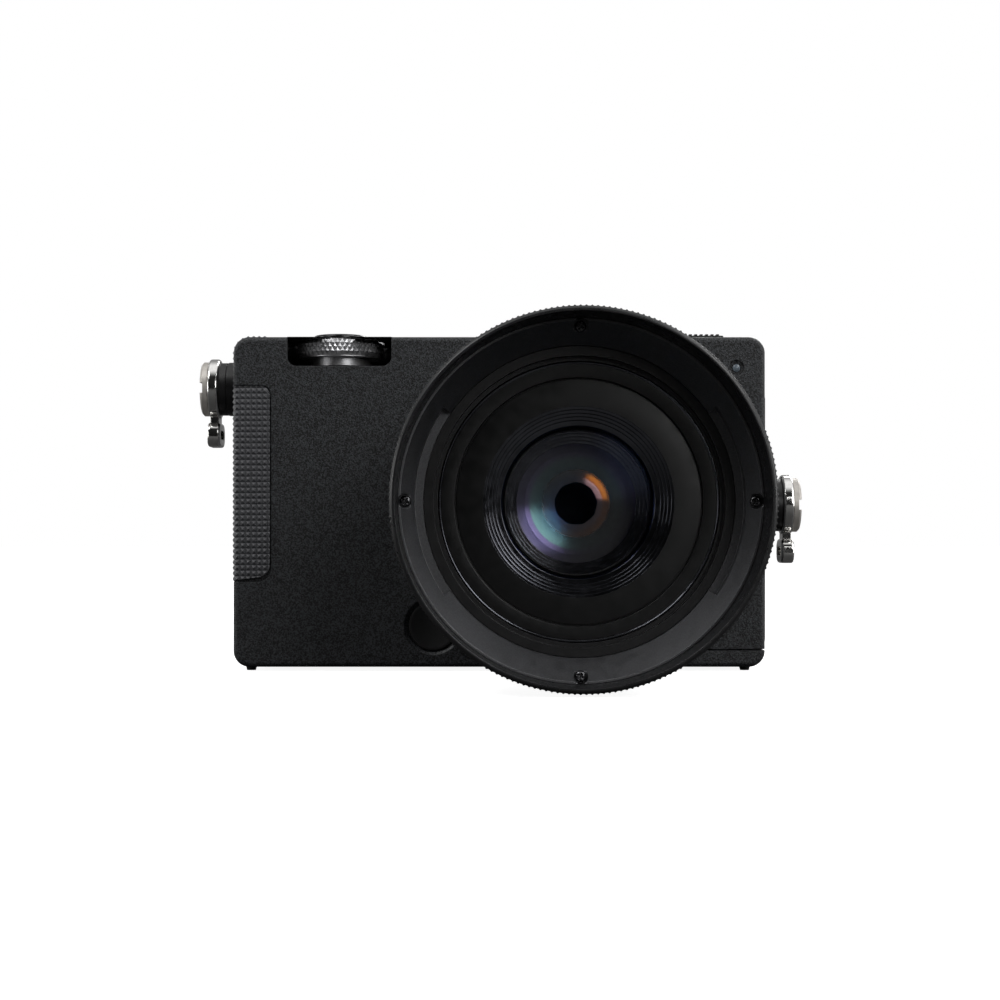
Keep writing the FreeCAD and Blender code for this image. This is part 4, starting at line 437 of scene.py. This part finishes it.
def well_outline(inset):
    """Outline of the dial's recess from above, from the front left round the back to the front right."""
    r = WELL_R - inset
    points = [(WELL_X - r, WELL_MOUTH_Y), (WELL_X - r, (FRONT_Y + DIAL_Y) / 2.0)]
    for k in range(WELL_STEPS + 1):
        turn = math.pi * (1.0 - k / WELL_STEPS)
        points.append((WELL_X + r * math.cos(turn), DIAL_Y + r * math.sin(turn)))
    points += [(WELL_X + r, (FRONT_Y + DIAL_Y) / 2.0), (WELL_X + r, WELL_MOUTH_Y)]
    return points


def strips(rows):
    """Points and faces of a sheet through rows of points of equal length."""
    points = [p for row in rows for p in row]
    width = len(rows[0])
    faces = []
    for j in range(len(rows) - 1):
        for k in range(width - 1):
            a = j * width + k
            faces.append((a, a + 1, a + 1 + width, a + width))
    return points, faces


def well_liner():
    """Gloss black skin of the recess, rounded into its floor."""
    levels = [(LINER_T, BODY_TOP - 0.35), (LINER_T, WELL_FLOOR_Z + WELL_CORNER_R + LINER_T)]
    for k in range(1, WELL_CORNER_STEPS + 1):
        turn = math.pi / 2.0 * k / WELL_CORNER_STEPS
        inset = LINER_T + WELL_CORNER_R * (1.0 - math.cos(turn))
        levels.append((inset, WELL_FLOOR_Z + LINER_T + WELL_CORNER_R * (1.0 - math.sin(turn))))
    levels.append((WELL_R - DIAL_FOOT_R + 1.0, WELL_FLOOR_Z + LINER_T))
    rows = [[(x, y, z) for x, y in well_outline(inset)] for inset, z in levels]
    points, faces = strips(rows)
    add_mesh("well_liner", points, faces, "control_metal", coat="gloss_black")


def dial_bezel():
    """Thin plate flush with the top that closes the recess round the dial."""
    outer = well_outline(-0.02)
    inner = []
    half_gap = math.acos((DIAL_Y - WELL_MOUTH_Y) / BEZEL_R)
    for k in range(len(outer)):
        turn = -math.pi / 2.0 - half_gap - (TAU - 2.0 * half_gap) * k / (len(outer) - 1)
        inner.append((DIAL_X + BEZEL_R * math.cos(turn), DIAL_Y + BEZEL_R * math.sin(turn)))
    high, low = BODY_TOP - 0.02, BODY_TOP - BEZEL_T
    rows = []
    for line, z in ((outer, low), (outer, high), (inner, high), (inner, low), (outer, low)):
        rows.append([(x, y, z) for x, y in line])
    points, faces = strips(rows)
    add_mesh("dial_bezel", points, faces, "body_coat")


# Hood and lens front


def hood_shell():
    """Outer tube with a fine band of round teeth and a bright lip."""
    knurl = (HOOD_FRONT_Y + 0.6, HOOD_FRONT_Y + 0.6 + HOOD_KNURL_L)
    root = HOOD_KNURL_R - HOOD_TOOTH / 2.0
    flange_y = HOOD_BACK_Y - HOOD_FLANGE_T
    corners = [
        (HOOD_IN_R - 0.1, HOOD_FRONT_Y, 0.12),
        (HOOD_KNURL_R - 0.6, HOOD_FRONT_Y, 0.2),
        (root, knurl[0], 0.12),
        (root, knurl[1], 0.12),
        (HOOD_PLAIN_R - 0.3, knurl[1] + 0.15, 0.05),
        (HOOD_PLAIN_R - 0.3, knurl[1] + 0.6, 0.05),
        (HOOD_PLAIN_R, knurl[1] + 0.8, 0.1),
        (HOOD_PLAIN_R, HOOD_BACK_Y - 2.2, 0.4),
        (HOOD_PLAIN_R - 1.4, HOOD_BACK_Y, 0.3),
        (HOOD_FLANGE_IN_R, HOOD_BACK_Y, 0.1),
        (HOOD_FLANGE_IN_R, flange_y, 0.1),
        (HOOD_IN_R, flange_y, 0.0),
        (HOOD_IN_R, HOOD_FRONT_Y + 0.5, 0.1),
    ]
    profile = rounded(corners)
    toothed = [knurl[0] - 0.01 <= y <= knurl[1] + 0.01 and r > HOOD_PLAIN_R - 0.2 for r, y in profile]

    def teeth(k, turn):
        return HOOD_TOOTH / 2.0 * math.cos(HOOD_TEETH * turn) if toothed[k] else 0.0

    points, faces = turned(profile, lens_point, HOOD_TEETH * 8, teeth)
    add_mesh("hood_shell", points, faces, "hood_metal", replaces=("hood_tube",), coat="rim_metal")


def hood_screw_heads():
    """Four domed heads with a cross recess."""
    points, faces = [], []
    rings, segments = 22, 64
    for middle in range(4):
        x = SCREW_CIRCLE_R * math.cos(TAU * middle / 4.0)
        z = AXIS_Z + SCREW_CIRCLE_R * math.sin(TAU * middle / 4.0)
        shift = len(points)
        for k in range(rings + 1):
            r = SCREW_HEAD_R * k / rings
            for i in range(segments):
                turn = TAU * i / segments
                dome = SCREW_TOP_Y + SCREW_DOME * (k / rings) ** 4
                sink = cross_sink(r, turn + CROSS_TURN)
                points.append((x + r * math.cos(turn), dome + sink, z + r * math.sin(turn)))
        for i in range(segments):
            turn = TAU * i / segments
            rim_x, rim_z = SCREW_HEAD_R * math.cos(turn), SCREW_HEAD_R * math.sin(turn)
            points.append((x + rim_x, SCREW_FLOOR_Y, z + rim_z))
        for k in range(rings + 1):
            for i in range(segments):
                a = shift + k * segments + i
                b = shift + k * segments + (i + 1) % segments
                faces.append((a, b, b + segments, a + segments))
    replaced = ("hood_screws",)
    add_mesh("hood_screw_heads", points, faces, "screw_steel", replaces=replaced, angle=50.0)


def cross_sink(r, turn):
    """Depth of the cross recess at a place on a screw head."""
    a = abs(r * math.cos(turn))
    b = abs(r * math.sin(turn))
    across, along = min(a, b), max(a, b)
    wall = max(0.0, min(1.0, (CROSS_W / 2.0 - across) / CROSS_WALL_W))
    end = max(0.0, min(1.0, (CROSS_L / 2.0 - along) / CROSS_END_L))
    return CROSS_DEPTH * wall * end


def lens_face():
    """Flat plates with a fine raised rim, and the stepped baffle in front of the glass."""
    y = PLATE_Y
    low = y + PLATE_STEP
    plates = [
        (PLATE_OUT_R, PLATE_BACK_Y, 0.0),
        (PLATE_OUT_R, y + 0.35, 0.1),
        (PLATE_OUT_R - 0.35, y, 0.15),
        (PLATE_STEP_R + 0.1, y, 0.12),
        (PLATE_STEP_R, low + 0.25, 0.05),
        (PLATE_STEP_R - 0.2, low + 0.25, 0.05),
        (PLATE_STEP_R - 0.22, low, 0.08),
        (PLATE_IN_R - 0.02, low, 0.0),
    ]
    baffle = [(PLATE_IN_R, low, 0.0)]
    r, depth = PLATE_IN_R, low
    for _ in range(BAFFLE_STEPS):
        baffle.append((r, depth + BAFFLE_AXIAL, 0.03))
        r -= BAFFLE_RADIAL
        depth += BAFFLE_AXIAL
        baffle.append((r, depth, 0.22))
    baffle += [
        (r, depth + 1.0, 0.05),
        (GLASS_STOP_R + 0.25, depth + 1.0, 0.1),
        (GLASS_STOP_R, depth + 1.3, 0.05),
        (GLASS_STOP_R, GLASS_SEAT_Y + 0.2, 0.0),
        (SEAT_OUT_R, GLASS_SEAT_Y + 0.2, 0.0),
        (SEAT_OUT_R, PLATE_BACK_Y, 0.0),
    ]
    points, faces = turned(rounded(plates), segments=320, closed=False)
    add_mesh("lens_face", points, faces, "lens_metal", replaces=("front_ring",), coat="face_metal")
    rim = [
        (PLATE_OUT_R - 0.58, y + 0.05, 0.0),
        (PLATE_OUT_R - 0.3, y - 0.2, 0.08),
        (PLATE_OUT_R - 0.08, y - 0.2, 0.05),
        (PLATE_OUT_R - 0.04, y + 0.3, 0.0),
    ]
    points, faces = turned(rounded(rim), segments=320)
    add_mesh("plate_rim", points, faces, "lens_metal", coat="ridge_metal")
    points, faces = turned(rounded(baffle), segments=320, closed=False)
    add_mesh("lens_baffle", points, faces, "lens_metal", coat="ridge_metal")


def cell_ridges():
    """Narrowing ridges between the front glass and the blades."""
    corners = [(GLASS_STOP_R - 0.05, GLASS_SEAT_Y + 0.6, 0.0)]
    r, y = CELL_R, GLASS_SEAT_Y + 1.2
    corners.append((r, y, 0.1))
    for _ in range(CELL_STEPS):
        corners.append((r, y + CELL_AXIAL, 0.03))
        r -= CELL_RADIAL
        y += CELL_AXIAL
        corners.append((r, y, 0.13))
    corners += [(r, IRIS_Y - 2.1, 0.0), (CELL_OUT_R, IRIS_Y - 2.1, 0.0)]
    points, faces = turned(rounded(corners), segments=256)
    add_mesh("cell_ridges", points, faces, "lens_metal", coat="ridge_metal")


def front_glass():
    """Thin lens of even thickness, crowned to the front."""
    ball = (GLASS_R * GLASS_R + GLASS_CROWN * GLASS_CROWN) / (2.0 * GLASS_CROWN)
    outer = []
    for k in range(GLASS_RINGS + 1):
        r = GLASS_R * k / GLASS_RINGS
        drop = ball - math.sqrt(ball * ball - r * r)
        outer.append((r, GLASS_SEAT_Y - (GLASS_CROWN - drop)))
    inner = [(r, y + GLASS_T) for r, y in reversed(outer)]
    points, faces = turned(outer + inner, segments=128, closed=False)
    add_mesh("front_glass", points, faces, "lens_glass", replaces=("front_element",), angle=40.0)


def iris_leaves():
    """Each iris blade as a thin leaf close to its neighbours, drawn back a little round the opening."""
    for i in range(1, BLADES + 1):
        blade = nodes[f"iris_blade_{i}"]
        points = []
        for vertex in blade.data.vertices:
            x, y, z = blade.matrix_world @ vertex.co / MM
            r = math.hypot(x, z - AXIS_Z)
            wider = 1.0 + LEAF_OPENING * max(0.0, 1.0 - r / LEAF_OPENING_R) / r
            points.append((x * wider, LEAF_Y + (y - LEAF_Y) * LEAF_SHARE, AXIS_Z + (z - AXIS_Z) * wider))
        faces = [tuple(face.vertices) for face in blade.data.polygons]
        add_mesh(f"iris_leaf_{i}", points, faces, "blade_coat", body=blade.name, replaces=(blade.name,))


# Materials

# Width of the edge mask that paints edges lighter, partly as wear and partly as a painted highlight
WEAR_AND_HIGHLIGHT_W = 0.12
BEVEL_SAMPLES = 4


def add_node(tree, kind, inputs=(), **settings):
    """A shader node with its settings, and with a value or a link for each input given."""
    made = tree.nodes.new("ShaderNode" + kind)
    for key, value in settings.items():
        setattr(made, key, value)
    for key, value in dict(inputs).items():
        if isinstance(value, bpy.types.NodeSocket):
            tree.links.new(value, made.inputs[key])
        else:
            made.inputs[key].default_value = value
    return made


class Shader:
    """A material with a Principled shader and short calls for the nodes in front of it."""

    def __init__(self, name, color, roughness=0.5, metallic=0.0, edge=0.15, **sockets):
        self.material = bpy.data.materials.new(name)
        self.material.use_nodes = True
        self.tree = self.material.node_tree
        self.main = self.tree.nodes["Principled BSDF"]
        self.main.inputs["Base Color"].default_value = (*color, 1.0)
        self.main.inputs["Roughness"].default_value = roughness
        self.main.inputs["Metallic"].default_value = metallic
        for socket, value in sockets.items():
            self.main.inputs[socket.replace("_", " ")].default_value = value
        self.place = self.tree.nodes.new("ShaderNodeTexCoord").outputs["Object"]
        self.normal = None
        if edge:
            self.normal = self.node("Bevel", {"Radius": edge * MM}, samples=BEVEL_SAMPLES).outputs["Normal"]
            self.tree.links.new(self.normal, self.main.inputs["Normal"])

    def node(self, kind, inputs=(), **settings):
        return add_node(self.tree, kind, inputs, **settings)

    def noise(self, size, detail=2.0):
        """Noise whose grains are about size millimetres across."""
        inputs = {"Vector": self.place, "Scale": 1.0 / (size * MM), "Detail": detail}
        return self.node("TexNoise", inputs).outputs["Fac"]

    def cells(self, size):
        """Distance from the middles of cells about size millimetres across."""
        inputs = {"Vector": self.place, "Scale": 1.0 / (size * MM)}
        return self.node("TexVoronoi", inputs).outputs["Distance"]

    def spread(self, value, low, high, to_low, to_high):
        inputs = {"Value": value, "From Min": low, "From Max": high, "To Min": to_low, "To Max": to_high}
        return self.node("MapRange", inputs).outputs[0]

    def vary_roughness(self, value, low, high):
        self.tree.links.new(self.spread(value, 0.3, 0.7, low, high), self.main.inputs["Roughness"])

    def color_between(self, factor, first, second):
        """A colour between two, each a colour or a socket."""
        mix = self.node("Mix", {"Factor": factor}, data_type="RGBA")
        for socket, color in (("A", first), ("B", second)):
            if isinstance(color, bpy.types.NodeSocket):
                self.tree.links.new(color, mix.inputs[socket])
            else:
                mix.inputs[socket].default_value = (*color, 1.0)
        return mix.outputs["Result"]

    def paint(self, color):
        self.tree.links.new(color, self.main.inputs["Base Color"])

    def vary_color(self, value, dark, light):
        varied = self.color_between(self.spread(value, 0.35, 0.65, 0.0, 1.0), dark, light)
        self.paint(varied)
        return varied

    def bump(self, value, depth):
        """Bump of a depth in millimetres; later calls add to earlier ones."""
        inputs = {"Height": value, "Distance": depth * MM}
        if self.normal:
            inputs["Normal"] = self.normal
        self.normal = self.node("Bump", inputs).outputs["Normal"]
        self.tree.links.new(self.normal, self.main.inputs["Normal"])

    def worn_and_highlit_edges(self, color, worn_and_highlight):
        """Lighter colour where the rounded normal leaves the true one, so on edges: partly wear and partly a
        painted edge highlight.
        """
        rounded_normal = self.node("Bevel", {"Radius": WEAR_AND_HIGHLIGHT_W * MM}, samples=BEVEL_SAMPLES).outputs["Normal"]
        true_normal = self.node("NewGeometry").outputs["Normal"]
        inputs = {0: rounded_normal, 1: true_normal}
        match = self.node("VectorMath", inputs, operation="DOT_PRODUCT").outputs["Value"]
        self.paint(self.color_between(self.spread(match, 0.98, 0.8, 0.0, 1.0), color, worn_and_highlight))


def lighter(color, share):
    return tuple(min(1.0, c * share) for c in color)


def powder_coat(name, color, grain):
    made = Shader(name, color, 0.45, edge=0.3, IOR=1.45)
    made.bump(made.noise(grain), 0.1)
    made.bump(made.cells(grain * 1.6), 0.06)
    made.vary_roughness(made.noise(grain * 4), 0.38, 0.52)
    speckle = made.spread(made.noise(grain * 1.3, 1.0), 0.4, 0.6, 0.35, 0.65)
    varied = made.vary_color(speckle, lighter(color, 0.05), lighter(color, 2.9))
    # Lighter edges: partly wear, partly a painted highlight
    made.worn_and_highlit_edges(varied, lighter(color, 2.2))
    return made.material


def anodised(name, color, roughness, metallic=0.0, edge=0.12, grain=0.004, patch=0.25):
    made = Shader(name, color, roughness, metallic, edge, IOR=1.5)
    if grain:
        made.bump(made.noise(0.12, 2.0), grain)
    made.vary_roughness(made.noise(2.0, 3.0), roughness - 0.05, roughness + 0.06)
    varied = made.vary_color(made.noise(patch, 3.0), color, lighter(color, 1.25))
    if edge:
        # Lighter edges: partly wear, partly a painted highlight
        made.worn_and_highlit_edges(varied, lighter(color, 2.5))
    return made.material


def rubber(name, color):
    made = Shader(name, color, 0.5, edge=0.0, IOR=1.5)
    made.bump(made.noise(0.1, 2.0), 0.006)
    made.vary_roughness(made.noise(1.5, 2.0), 0.32, 0.44)
    made.vary_color(made.noise(0.6, 3.0), color, lighter(color, 1.3))
    return made.material


def metal(name, color, roughness, metallic=1.0):
    made = Shader(name, color, roughness, metallic)
    made.bump(made.noise(0.15, 2.0), 0.002)
    made.vary_roughness(made.noise(1.2, 3.0), roughness - 0.04, roughness + 0.06)
    made.vary_color(made.noise(0.8, 2.0), lighter(color, 0.92), color)
    return made.material


def plastic(name, color, roughness):
    made = Shader(name, color, roughness, IOR=1.46)
    made.bump(made.noise(0.2, 2.0), 0.003)
    made.vary_roughness(made.noise(1.5, 2.0), roughness - 0.04, roughness + 0.06)
    made.vary_color(made.noise(0.9, 2.0), color, lighter(color, 1.2))
    return made.material


def coated_glass(name, tint, ior):
    """Clear thin glass: light goes straight through and a tinted share is mirrored."""
    made = Shader(name, tint, edge=0.0)
    clear = made.node("BsdfTransparent").outputs[0]
    mirror = made.node("BsdfGlossy", {"Color": (*tint, 1.0)})
    rough = made.spread(made.noise(4.0), 0.3, 0.7, 0.18, 0.24)
    made.tree.links.new(rough, mirror.inputs["Roughness"])
    share = made.node("Fresnel", {"IOR": ior}).outputs[0]
    mix = made.node("MixShader", {0: share, 1: clear, 2: mirror.outputs[0]})
    made.tree.links.new(mix.outputs[0], made.tree.nodes["Material Output"].inputs["Surface"])
    return made.material


# Display field behind the screen glass
SCREEN_X = (-30.6, 35.0)
SCREEN_Z = (17.4, 61.8)

# Painted reflections on the blades, standing in for those of the curved, coated lenses in front of them:
# radius in mm and colour
BLADE_ROOM_R = 12.0
HOLLOW_R = 30.0
HOLLOW_STRENGTH = 0.2
HOLLOW_ROUGHNESS = 0.2
DOME_R = 20.0
DOME_STRENGTH = 0.22
DOME_ROUGHNESS = 0.14
HOLLOW_PAINTED_REFLECTION_TINTS = (
    (3.7, (0.03, 0.08, 0.26)),
    (6.0, (0.06, 0.17, 0.28)),
    (8.9, (0.26, 0.52, 0.52)),
    (9.0, (0.26, 0.22, 0.48)),
    (9.9, (0.34, 0.30, 0.62)),
    (10.0, (0.13, 0.12, 0.28)),
    (11.6, (0.26, 0.24, 0.44)),
)
DOME_PAINTED_REFLECTION_TINTS = (
    (3.7, (0.10, 0.05, 0.07)),
    (5.1, (0.38, 0.22, 0.22)),
    (5.2, (0.30, 0.08, 0.01)),
    (6.6, (1.0, 0.33, 0.04)),
    (6.7, (0.01, 0.01, 0.01)),
)


def painted_lens_reflection(made, place, radius, tints, strength, roughness):
    """Painted soft reflection as of a curved surface, with the normal bent by place and the tint set by
    radius; a positive radius stands for a domed one.
    """
    bend = (1.0 / (radius * MM), 0.0, 1.0 / (radius * MM))
    tilt = made.node("VectorMath", {0: place, 1: bend}, operation="MULTIPLY").outputs[0]
    lean = made.node("VectorMath", {0: tilt, 1: (0.0, -1.0, 0.0)}, operation="ADD").outputs[0]
    normal = made.node("VectorMath", {0: lean}, operation="NORMALIZE").outputs[0]
    flat = made.node("VectorMath", {0: place, 1: (1.0, 0.0, 1.0)}, operation="MULTIPLY").outputs[0]
    r = made.node("VectorMath", {0: flat}, operation="LENGTH").outputs["Value"]
    share = made.spread(r, 0.0, BLADE_ROOM_R * MM, 0.0, 1.0)
    ramp = made.node("ValToRGB", {"Fac": share})
    stops = ramp.color_ramp.elements
    while len(stops) < len(tints):
        stops.new(0.5)
    for stop, (at, tint) in zip(stops, tints):
        stop.position = at / BLADE_ROOM_R
        stop.color = (*lighter(tint, strength), 1.0)
    inputs = {"Color": ramp.outputs["Color"], "Roughness": roughness, "Normal": normal}
    return made.node("BsdfGlossy", inputs).outputs[0]


def blade_painted_reflections():
    # Dark blades with two painted reflections on top: glossy layers that stand in for the reflections of the
    # coated lenses in front
    made = Shader("blade_coat", (0.008, 0.008, 0.009), 0.5, edge=0.0)
    made.bump(made.noise(0.15, 2.0), 0.002)
    made.vary_roughness(made.noise(1.0), 0.45, 0.6)
    world_place = made.node("NewGeometry").outputs["Position"]
    inputs = {0: world_place, 1: (0.0, 0.0, AXIS_Z * MM)}
    place = made.node("VectorMath", inputs, operation="SUBTRACT").outputs[0]
    hollow = painted_lens_reflection(made, place, -HOLLOW_R, HOLLOW_PAINTED_REFLECTION_TINTS, HOLLOW_STRENGTH, HOLLOW_ROUGHNESS)
    dome = painted_lens_reflection(made, place, DOME_R, DOME_PAINTED_REFLECTION_TINTS, DOME_STRENGTH, DOME_ROUGHNESS)
    first = made.node("AddShader", {0: hollow, 1: dome}).outputs[0]
    both = made.node("AddShader", {0: first, 1: made.main.outputs[0]}).outputs[0]
    made.tree.links.new(both, made.tree.nodes["Material Output"].inputs["Surface"])
    return made.material


def screen_paint():
    """Glossy black glass with the slightly lighter field of the display behind it."""
    made = Shader("screen_glass", (0.002, 0.002, 0.0022), 0.06, edge=0.1, IOR=1.5)
    split = made.node("SeparateXYZ", {0: made.place})
    inside = None
    for axis, (low, high) in (("X", SCREEN_X), ("Z", SCREEN_Z)):
        offset = made.node("Math", {0: split.outputs[axis], 1: (low + high) / 2.0 * MM}, operation="SUBTRACT")
        distance = made.node("Math", {0: offset.outputs[0]}, operation="ABSOLUTE").outputs[0]
        half = (high - low) / 2.0 * MM
        near = made.spread(distance, half - 0.05 * MM, half + 0.05 * MM, 1.0, 0.0)
        if inside is None:
            inside = near
        else:
            inside = made.node("Math", {0: inside, 1: near}, operation="MULTIPLY").outputs[0]
    made.paint(made.color_between(inside, (0.002, 0.002, 0.0022), (0.009, 0.0095, 0.0105)))
    made.vary_roughness(made.noise(20.0), 0.04, 0.09)
    return made.material


def make_materials():
    return {
        "body_coat": powder_coat("body_coat", (0.0125, 0.0135, 0.015), 0.22),
        "cover_coat": powder_coat("cover_coat", (0.014, 0.015, 0.0165), 0.21),
        "heat_sink_metal": anodised("heat_sink_metal", (0.008, 0.008, 0.009), 0.5),
        "lens_metal": anodised("lens_metal", (0.006, 0.006, 0.0065), 0.4),
        "ridge_metal": anodised("ridge_metal", (0.095, 0.098, 0.11), 0.15, 1.0, 0.0, 0.0, 4.0),
        "face_metal": anodised("face_metal", (0.0024, 0.0025, 0.0028), 0.34, edge=0.0, grain=0.002),
        "liner_metal": anodised("liner_metal", (0.12, 0.121, 0.126), 0.55, 1.0, edge=0.1),
        "hood_metal": anodised("hood_metal", (0.009, 0.0092, 0.010), 0.42),
        "rim_metal": anodised("rim_metal", (0.008, 0.0082, 0.009), 0.3, edge=0.06, grain=0.0, patch=4.0),
        "grip_rubber": rubber("grip_rubber", (0.07, 0.071, 0.076)),
        "cover_rubber": rubber("cover_rubber", (0.012, 0.0122, 0.0128)),
        "mount_steel": metal("mount_steel", (0.55, 0.55, 0.55), 0.28),
        "gloss_black": plastic("gloss_black", (0.003, 0.003, 0.0032), 0.12),
        "screw_steel": metal("screw_steel", (0.12, 0.12, 0.125), 0.25),
        "bush_metal": anodised("bush_metal", (0.006, 0.006, 0.0065), 0.35),
        "strap_nickel": metal("strap_nickel", (0.6, 0.57, 0.53), 0.42, 0.55),
        "eyelet_chrome": metal("eyelet_chrome", (0.85, 0.84, 0.82), 0.08),
        "button_satin": plastic("button_satin", (0.008, 0.008, 0.0085), 0.42),
        "control_metal": anodised("control_metal", (0.006, 0.006, 0.0065), 0.2),
        "knurl_metal": anodised("knurl_metal", (0.42, 0.42, 0.43), 0.36, 0.9, edge=0.0),
        "inner_plastic": plastic("inner_plastic", (0.006, 0.006, 0.0063), 0.5),
        "board_green": plastic("board_green", (0.01, 0.05, 0.02), 0.4),
        "battery_case": plastic("battery_case", (0.02, 0.02, 0.022), 0.5),
        "foot_rubber": rubber("foot_rubber", (0.02, 0.02, 0.02)),
        "lens_glass": coated_glass("lens_glass", (0.25, 0.35, 0.7), 1.1),
        "screen_glass": screen_paint(),
        "lamp_lens": plastic("lamp_lens", (0.12, 0.145, 0.17), 0.1),
        "blade_coat": blade_painted_reflections(),
        "sensor_face": plastic("sensor_face", (0.01, 0.03, 0.04), 0.08),
    }


OWN_COATS = {"hood_base": "liner_metal"}


def paint_nodes():
    """Each CAD node gets the material of its slot in the record, and shading that keeps flat faces flat."""
    for part in frame["record"]["subparts"]:
        shape = nodes[part["node"]]
        shape.data.materials.clear()
        shape.data.materials.append(paint[OWN_COATS.get(part["node"], part["material_slot"])])
        split = shape.modifiers.new("split", "EDGE_SPLIT")
        split.split_angle = math.radians(SHARP_ANGLE)
        shape.modifiers.new("weigh", "WEIGHTED_NORMAL").keep_sharp = True


# Camera at the photo's viewing angle, light, floor and background

CAMERA_PLACE = (-14.72, -430.0, 27.1)
CAMERA_LENS = 70.3
CAMERA_SENSOR_W = 36.0
CAMERA_SHIFT_Y = 0.039
TARGET = (-0.01, -0.05, 0.034)

# World as mirrors see it: three ramps of (from, to, value at from, value at to), multiplied
MIRROR_UP = (0.5, 0.0, 0.85)
MIRROR_RAMPS = (
    (-0.7, -0.25, 0.02, 1.0),
    (-0.6, 0.9, 0.2, 1.0),
    (0.1, 0.7, 1.0, 0.35),
)
FILL = 0.16

# Floor: white to the camera, dark to all other rays so that it doesn't light the underside
FLOOR_HALF = 6.0
FLOOR_GLOW = 0.9
FLOOR_ROUGHNESS = 0.9
FLOOR_DARK = (0.05, 0.05, 0.05, 1.0)
FLOOR_WHITE = (0.8, 0.8, 0.8, 1.0)


def make_camera():
    data = bpy.data.cameras.new("camera_view")
    data.lens = CAMERA_LENS
    data.sensor_width = CAMERA_SENSOR_W
    data.shift_y = CAMERA_SHIFT_Y
    data.clip_start = 0.01
    data.clip_end = 50.0
    view = bpy.data.objects.new("camera_view", data)
    view.location = Vector(CAMERA_PLACE) * MM
    view.rotation_euler = (math.radians(90.0), 0.0, 0.0)
    bpy.context.scene.collection.objects.link(view)
    bpy.context.scene.camera = view


def area_light(name, place, size, power):
    data = bpy.data.lights.new(name, "AREA")
    data.shape = "RECTANGLE"
    data.size, data.size_y = size
    data.energy = power
    lamp = bpy.data.objects.new(name, data)
    lamp.location = place
    lamp.rotation_euler = (Vector(TARGET) - Vector(place)).to_track_quat("-Z", "Y").to_euler()
    bpy.context.scene.collection.objects.link(lamp)


def make_lights():
    area_light("key", (0.41, -0.85, 0.33), (0.42, 0.42), 1.9)
    area_light("rake", (0.6, -0.4, 0.66), (0.4, 0.4), 2.9)
    area_light("top", (-0.52, -0.42, 0.75), (0.45, 0.4), 3.2)
    area_light("side_right", (0.95, -0.04, 0.12), (0.3, 0.4), 1.5)
    area_light("side_left", (-0.95, -0.06, 0.12), (0.3, 0.4), 1.5)
    area_light("low_left", (-0.75, -0.6, 0.08), (0.2, 0.3), 0.4)
    area_light("back_high", (0.45, 0.8, 0.6), (0.5, 0.5), 5.0)
    area_light("back_low", (-0.7, 0.75, 0.2), (0.4, 0.4), 2.0)


def make_world():
    """White to the camera, a soft gradient to mirrors, and a dim fill for everything else."""
    world = bpy.data.worlds.new("studio")
    bpy.context.scene.world = world
    world.use_nodes = True
    tree = world.node_tree
    tree.nodes.clear()
    path = add_node(tree, "LightPath").outputs
    toward = add_node(tree, "TexCoord").outputs["Generated"]
    depth = add_node(tree, "SeparateXYZ", {0: toward}).outputs["Y"]
    inputs = {0: toward, 1: MIRROR_UP}
    lean = add_node(tree, "VectorMath", inputs, operation="DOT_PRODUCT").outputs["Value"]
    mirrored = None
    for value, (start, end, first, last) in zip((depth, lean, depth), MIRROR_RAMPS):
        inputs = {"Value": value, "From Min": start, "From Max": end, "To Min": first, "To Max": last}
        factor = add_node(tree, "MapRange", inputs, interpolation_type="SMOOTHSTEP").outputs[0]
        if mirrored is None:
            mirrored = factor
        else:
            mirrored = add_node(tree, "Math", {0: mirrored, 1: factor}, operation="MULTIPLY").outputs[0]
    inputs = {0: path["Is Glossy Ray"], 1: path["Is Transmission Ray"]}
    sharp = add_node(tree, "Math", inputs, operation="MAXIMUM").outputs[0]
    inputs = {"Factor": sharp, "A": FILL, "B": mirrored}
    seen = add_node(tree, "Mix", inputs, data_type="FLOAT").outputs["Result"]
    inputs = {"Factor": path["Is Camera Ray"], "A": seen, "B": 1.0}
    strength = add_node(tree, "Mix", inputs, data_type="FLOAT").outputs["Result"]
    light = add_node(tree, "Background", {"Color": (1.0, 1.0, 1.0, 1.0), "Strength": strength}).outputs[0]
    add_node(tree, "OutputWorld", {"Surface": light})


def make_floor():
    """White floor that keeps a faint shadow of the object."""
    half = FLOOR_HALF
    mesh = bpy.data.meshes.new("floor")
    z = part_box("feet")[0].z
    corners = [(-half, -half, z), (half, -half, z), (half, half, z), (-half, half, z)]
    mesh.from_pydata(corners, [], [(0, 1, 2, 3)])
    floor = bpy.data.objects.new("floor", mesh)
    bpy.context.scene.collection.objects.link(floor)
    material = bpy.data.materials.new("floor_white")
    material.use_nodes = True
    tree = material.node_tree
    main = tree.nodes["Principled BSDF"]
    main.inputs["Roughness"].default_value = FLOOR_ROUGHNESS
    main.inputs["Emission Color"].default_value = (1.0, 1.0, 1.0, 1.0)
    camera_ray = add_node(tree, "LightPath").outputs["Is Camera Ray"]
    glow = add_node(tree, "Math", {0: camera_ray, 1: FLOOR_GLOW}, operation="MULTIPLY").outputs[0]
    tree.links.new(glow, main.inputs["Emission Strength"])
    base = add_node(tree, "Mix", {"Factor": camera_ray}, data_type="RGBA")
    base.inputs["A"].default_value = FLOOR_DARK
    base.inputs["B"].default_value = FLOOR_WHITE
    tree.links.new(base.outputs["Result"], main.inputs["Base Color"])
    mesh.materials.append(material)


def make_pieces():
    grip_pyramids()
    dial_wheel()
    well_liner()
    dial_bezel()
    hood_shell()
    hood_screw_heads()
    lens_face()
    cell_ridges()
    iris_leaves()
    front_glass()


bpy.context.scene.view_settings.view_transform = "Standard"
make_camera()
make_world()
make_floor()
make_lights()
paint = make_materials()
paint_nodes()
make_pieces()
